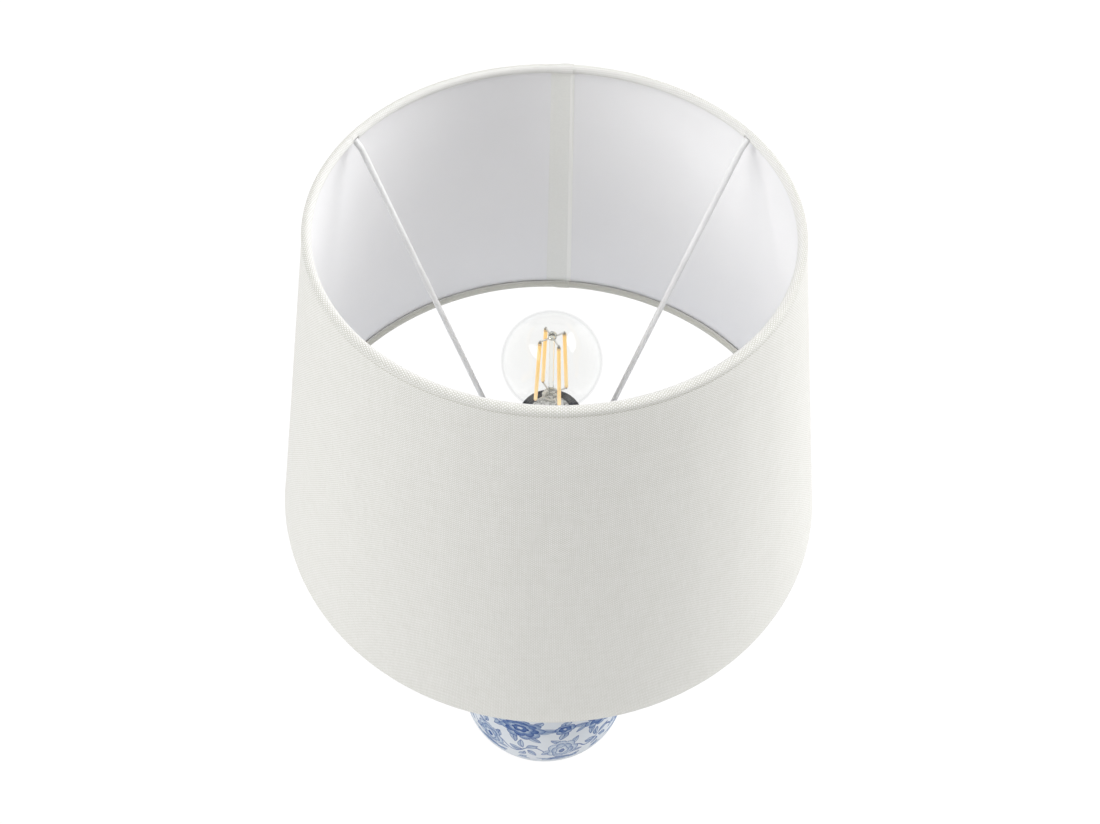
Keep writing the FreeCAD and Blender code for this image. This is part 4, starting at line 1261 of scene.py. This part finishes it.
def pad():
    corners = [(0.02, 2.0), (71.6, 2.0), (72.1, 1.7), (72.2, 1.0), (72.1, 0.3), (71.6, 0.0), (0.02, 0.0)]
    outline = [(radius * MM, height * MM) for radius, height in corners]
    points, faces = spun(outline, 160)
    under = piece("felt_pad", points, faces, "base", "felt", FELT)
    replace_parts(under, "base_pad")


pad()


# Lights, floor and world

def sun(name, azimuth, elevation, strength, angle):
    """A sun lamp that shines from an azimuth and elevation; all angles are in degrees."""
    data = bpy.data.lights.new(name, "SUN")
    data.energy = strength
    data.angle = math.radians(angle)
    lamp = bpy.data.objects.new(name, data)
    scene.collection.objects.link(lamp)
    toward = Vector((
        math.cos(math.radians(elevation)) * math.cos(math.radians(azimuth)),
        math.cos(math.radians(elevation)) * math.sin(math.radians(azimuth)),
        math.sin(math.radians(elevation)),
    ))
    lamp.rotation_euler = toward.to_track_quat("Z", "Y").to_euler()


sun("sun_left", azimuth=200, elevation=34, strength=1.88, angle=50)
sun("sun_right", azimuth=16, elevation=33, strength=2.65, angle=50)

SKY_LIGHT = 0.37
FLOOR_LIT = 0.8
FLOOR_SEEN = 0.12
FLOOR_GLOW = 0.93
FLOOR_HALF = 8.0


def seen_directly(tree):
    """1 for rays from the camera, from a glossy surface or through glass, and 0 for light on the object."""
    node = tree.nodes.new("ShaderNodeLightPath")
    seen = Value(tree, node.outputs["Is Camera Ray"])
    for ray in ("Is Glossy Ray", "Is Transmission Ray"):
        seen = seen.most(Value(tree, node.outputs[ray]))
    return seen


def world():
    surround = bpy.data.worlds.new("world")
    surround.use_nodes = True
    tree = surround.node_tree
    tree.nodes.clear()
    seen = seen_directly(tree)
    sky = tree.nodes.new("ShaderNodeBackground")
    feed(tree, sky.inputs["Color"], (1.0, 1.0, 1.0))
    feed(tree, sky.inputs["Strength"], seen * (1 - SKY_LIGHT) + SKY_LIGHT)
    output = tree.nodes.new("ShaderNodeOutputWorld")
    tree.links.new(sky.outputs[0], output.inputs["Surface"])
    scene.world = surround


def floor():
    """A pale floor that is near white where it is seen, and throws back plain light."""
    corners = [(x * FLOOR_HALF, y * FLOOR_HALF, 0) for x, y in ((-1, -1), (1, -1), (1, 1), (-1, 1))]
    mesh = bpy.data.meshes.new("floor")
    mesh.from_pydata(corners, [], [(0, 1, 2, 3)])
    ground = bpy.data.objects.new("floor", mesh)
    scene.collection.objects.link(ground)
    paint = bpy.data.materials.new("floor")
    paint.use_nodes = True
    tree = paint.node_tree
    tree.nodes.clear()
    seen = seen_directly(tree)
    tone = seen * (FLOOR_SEEN - FLOOR_LIT) + FLOOR_LIT
    grey = tree.nodes.new("ShaderNodeCombineColor")
    for socket in grey.inputs:
        feed(tree, socket, tone)
    matt = tree.nodes.new("ShaderNodeBsdfDiffuse")
    feed(tree, matt.inputs["Color"], grey.outputs[0])
    glow = tree.nodes.new("ShaderNodeEmission")
    feed(tree, glow.inputs["Strength"], seen * FLOOR_GLOW)
    show_both(tree, tree.nodes.new("ShaderNodeOutputMaterial"), matt, glow)
    mesh.materials.append(paint)


camera()
world()
floor()
scene.view_settings.view_transform = "Standard"
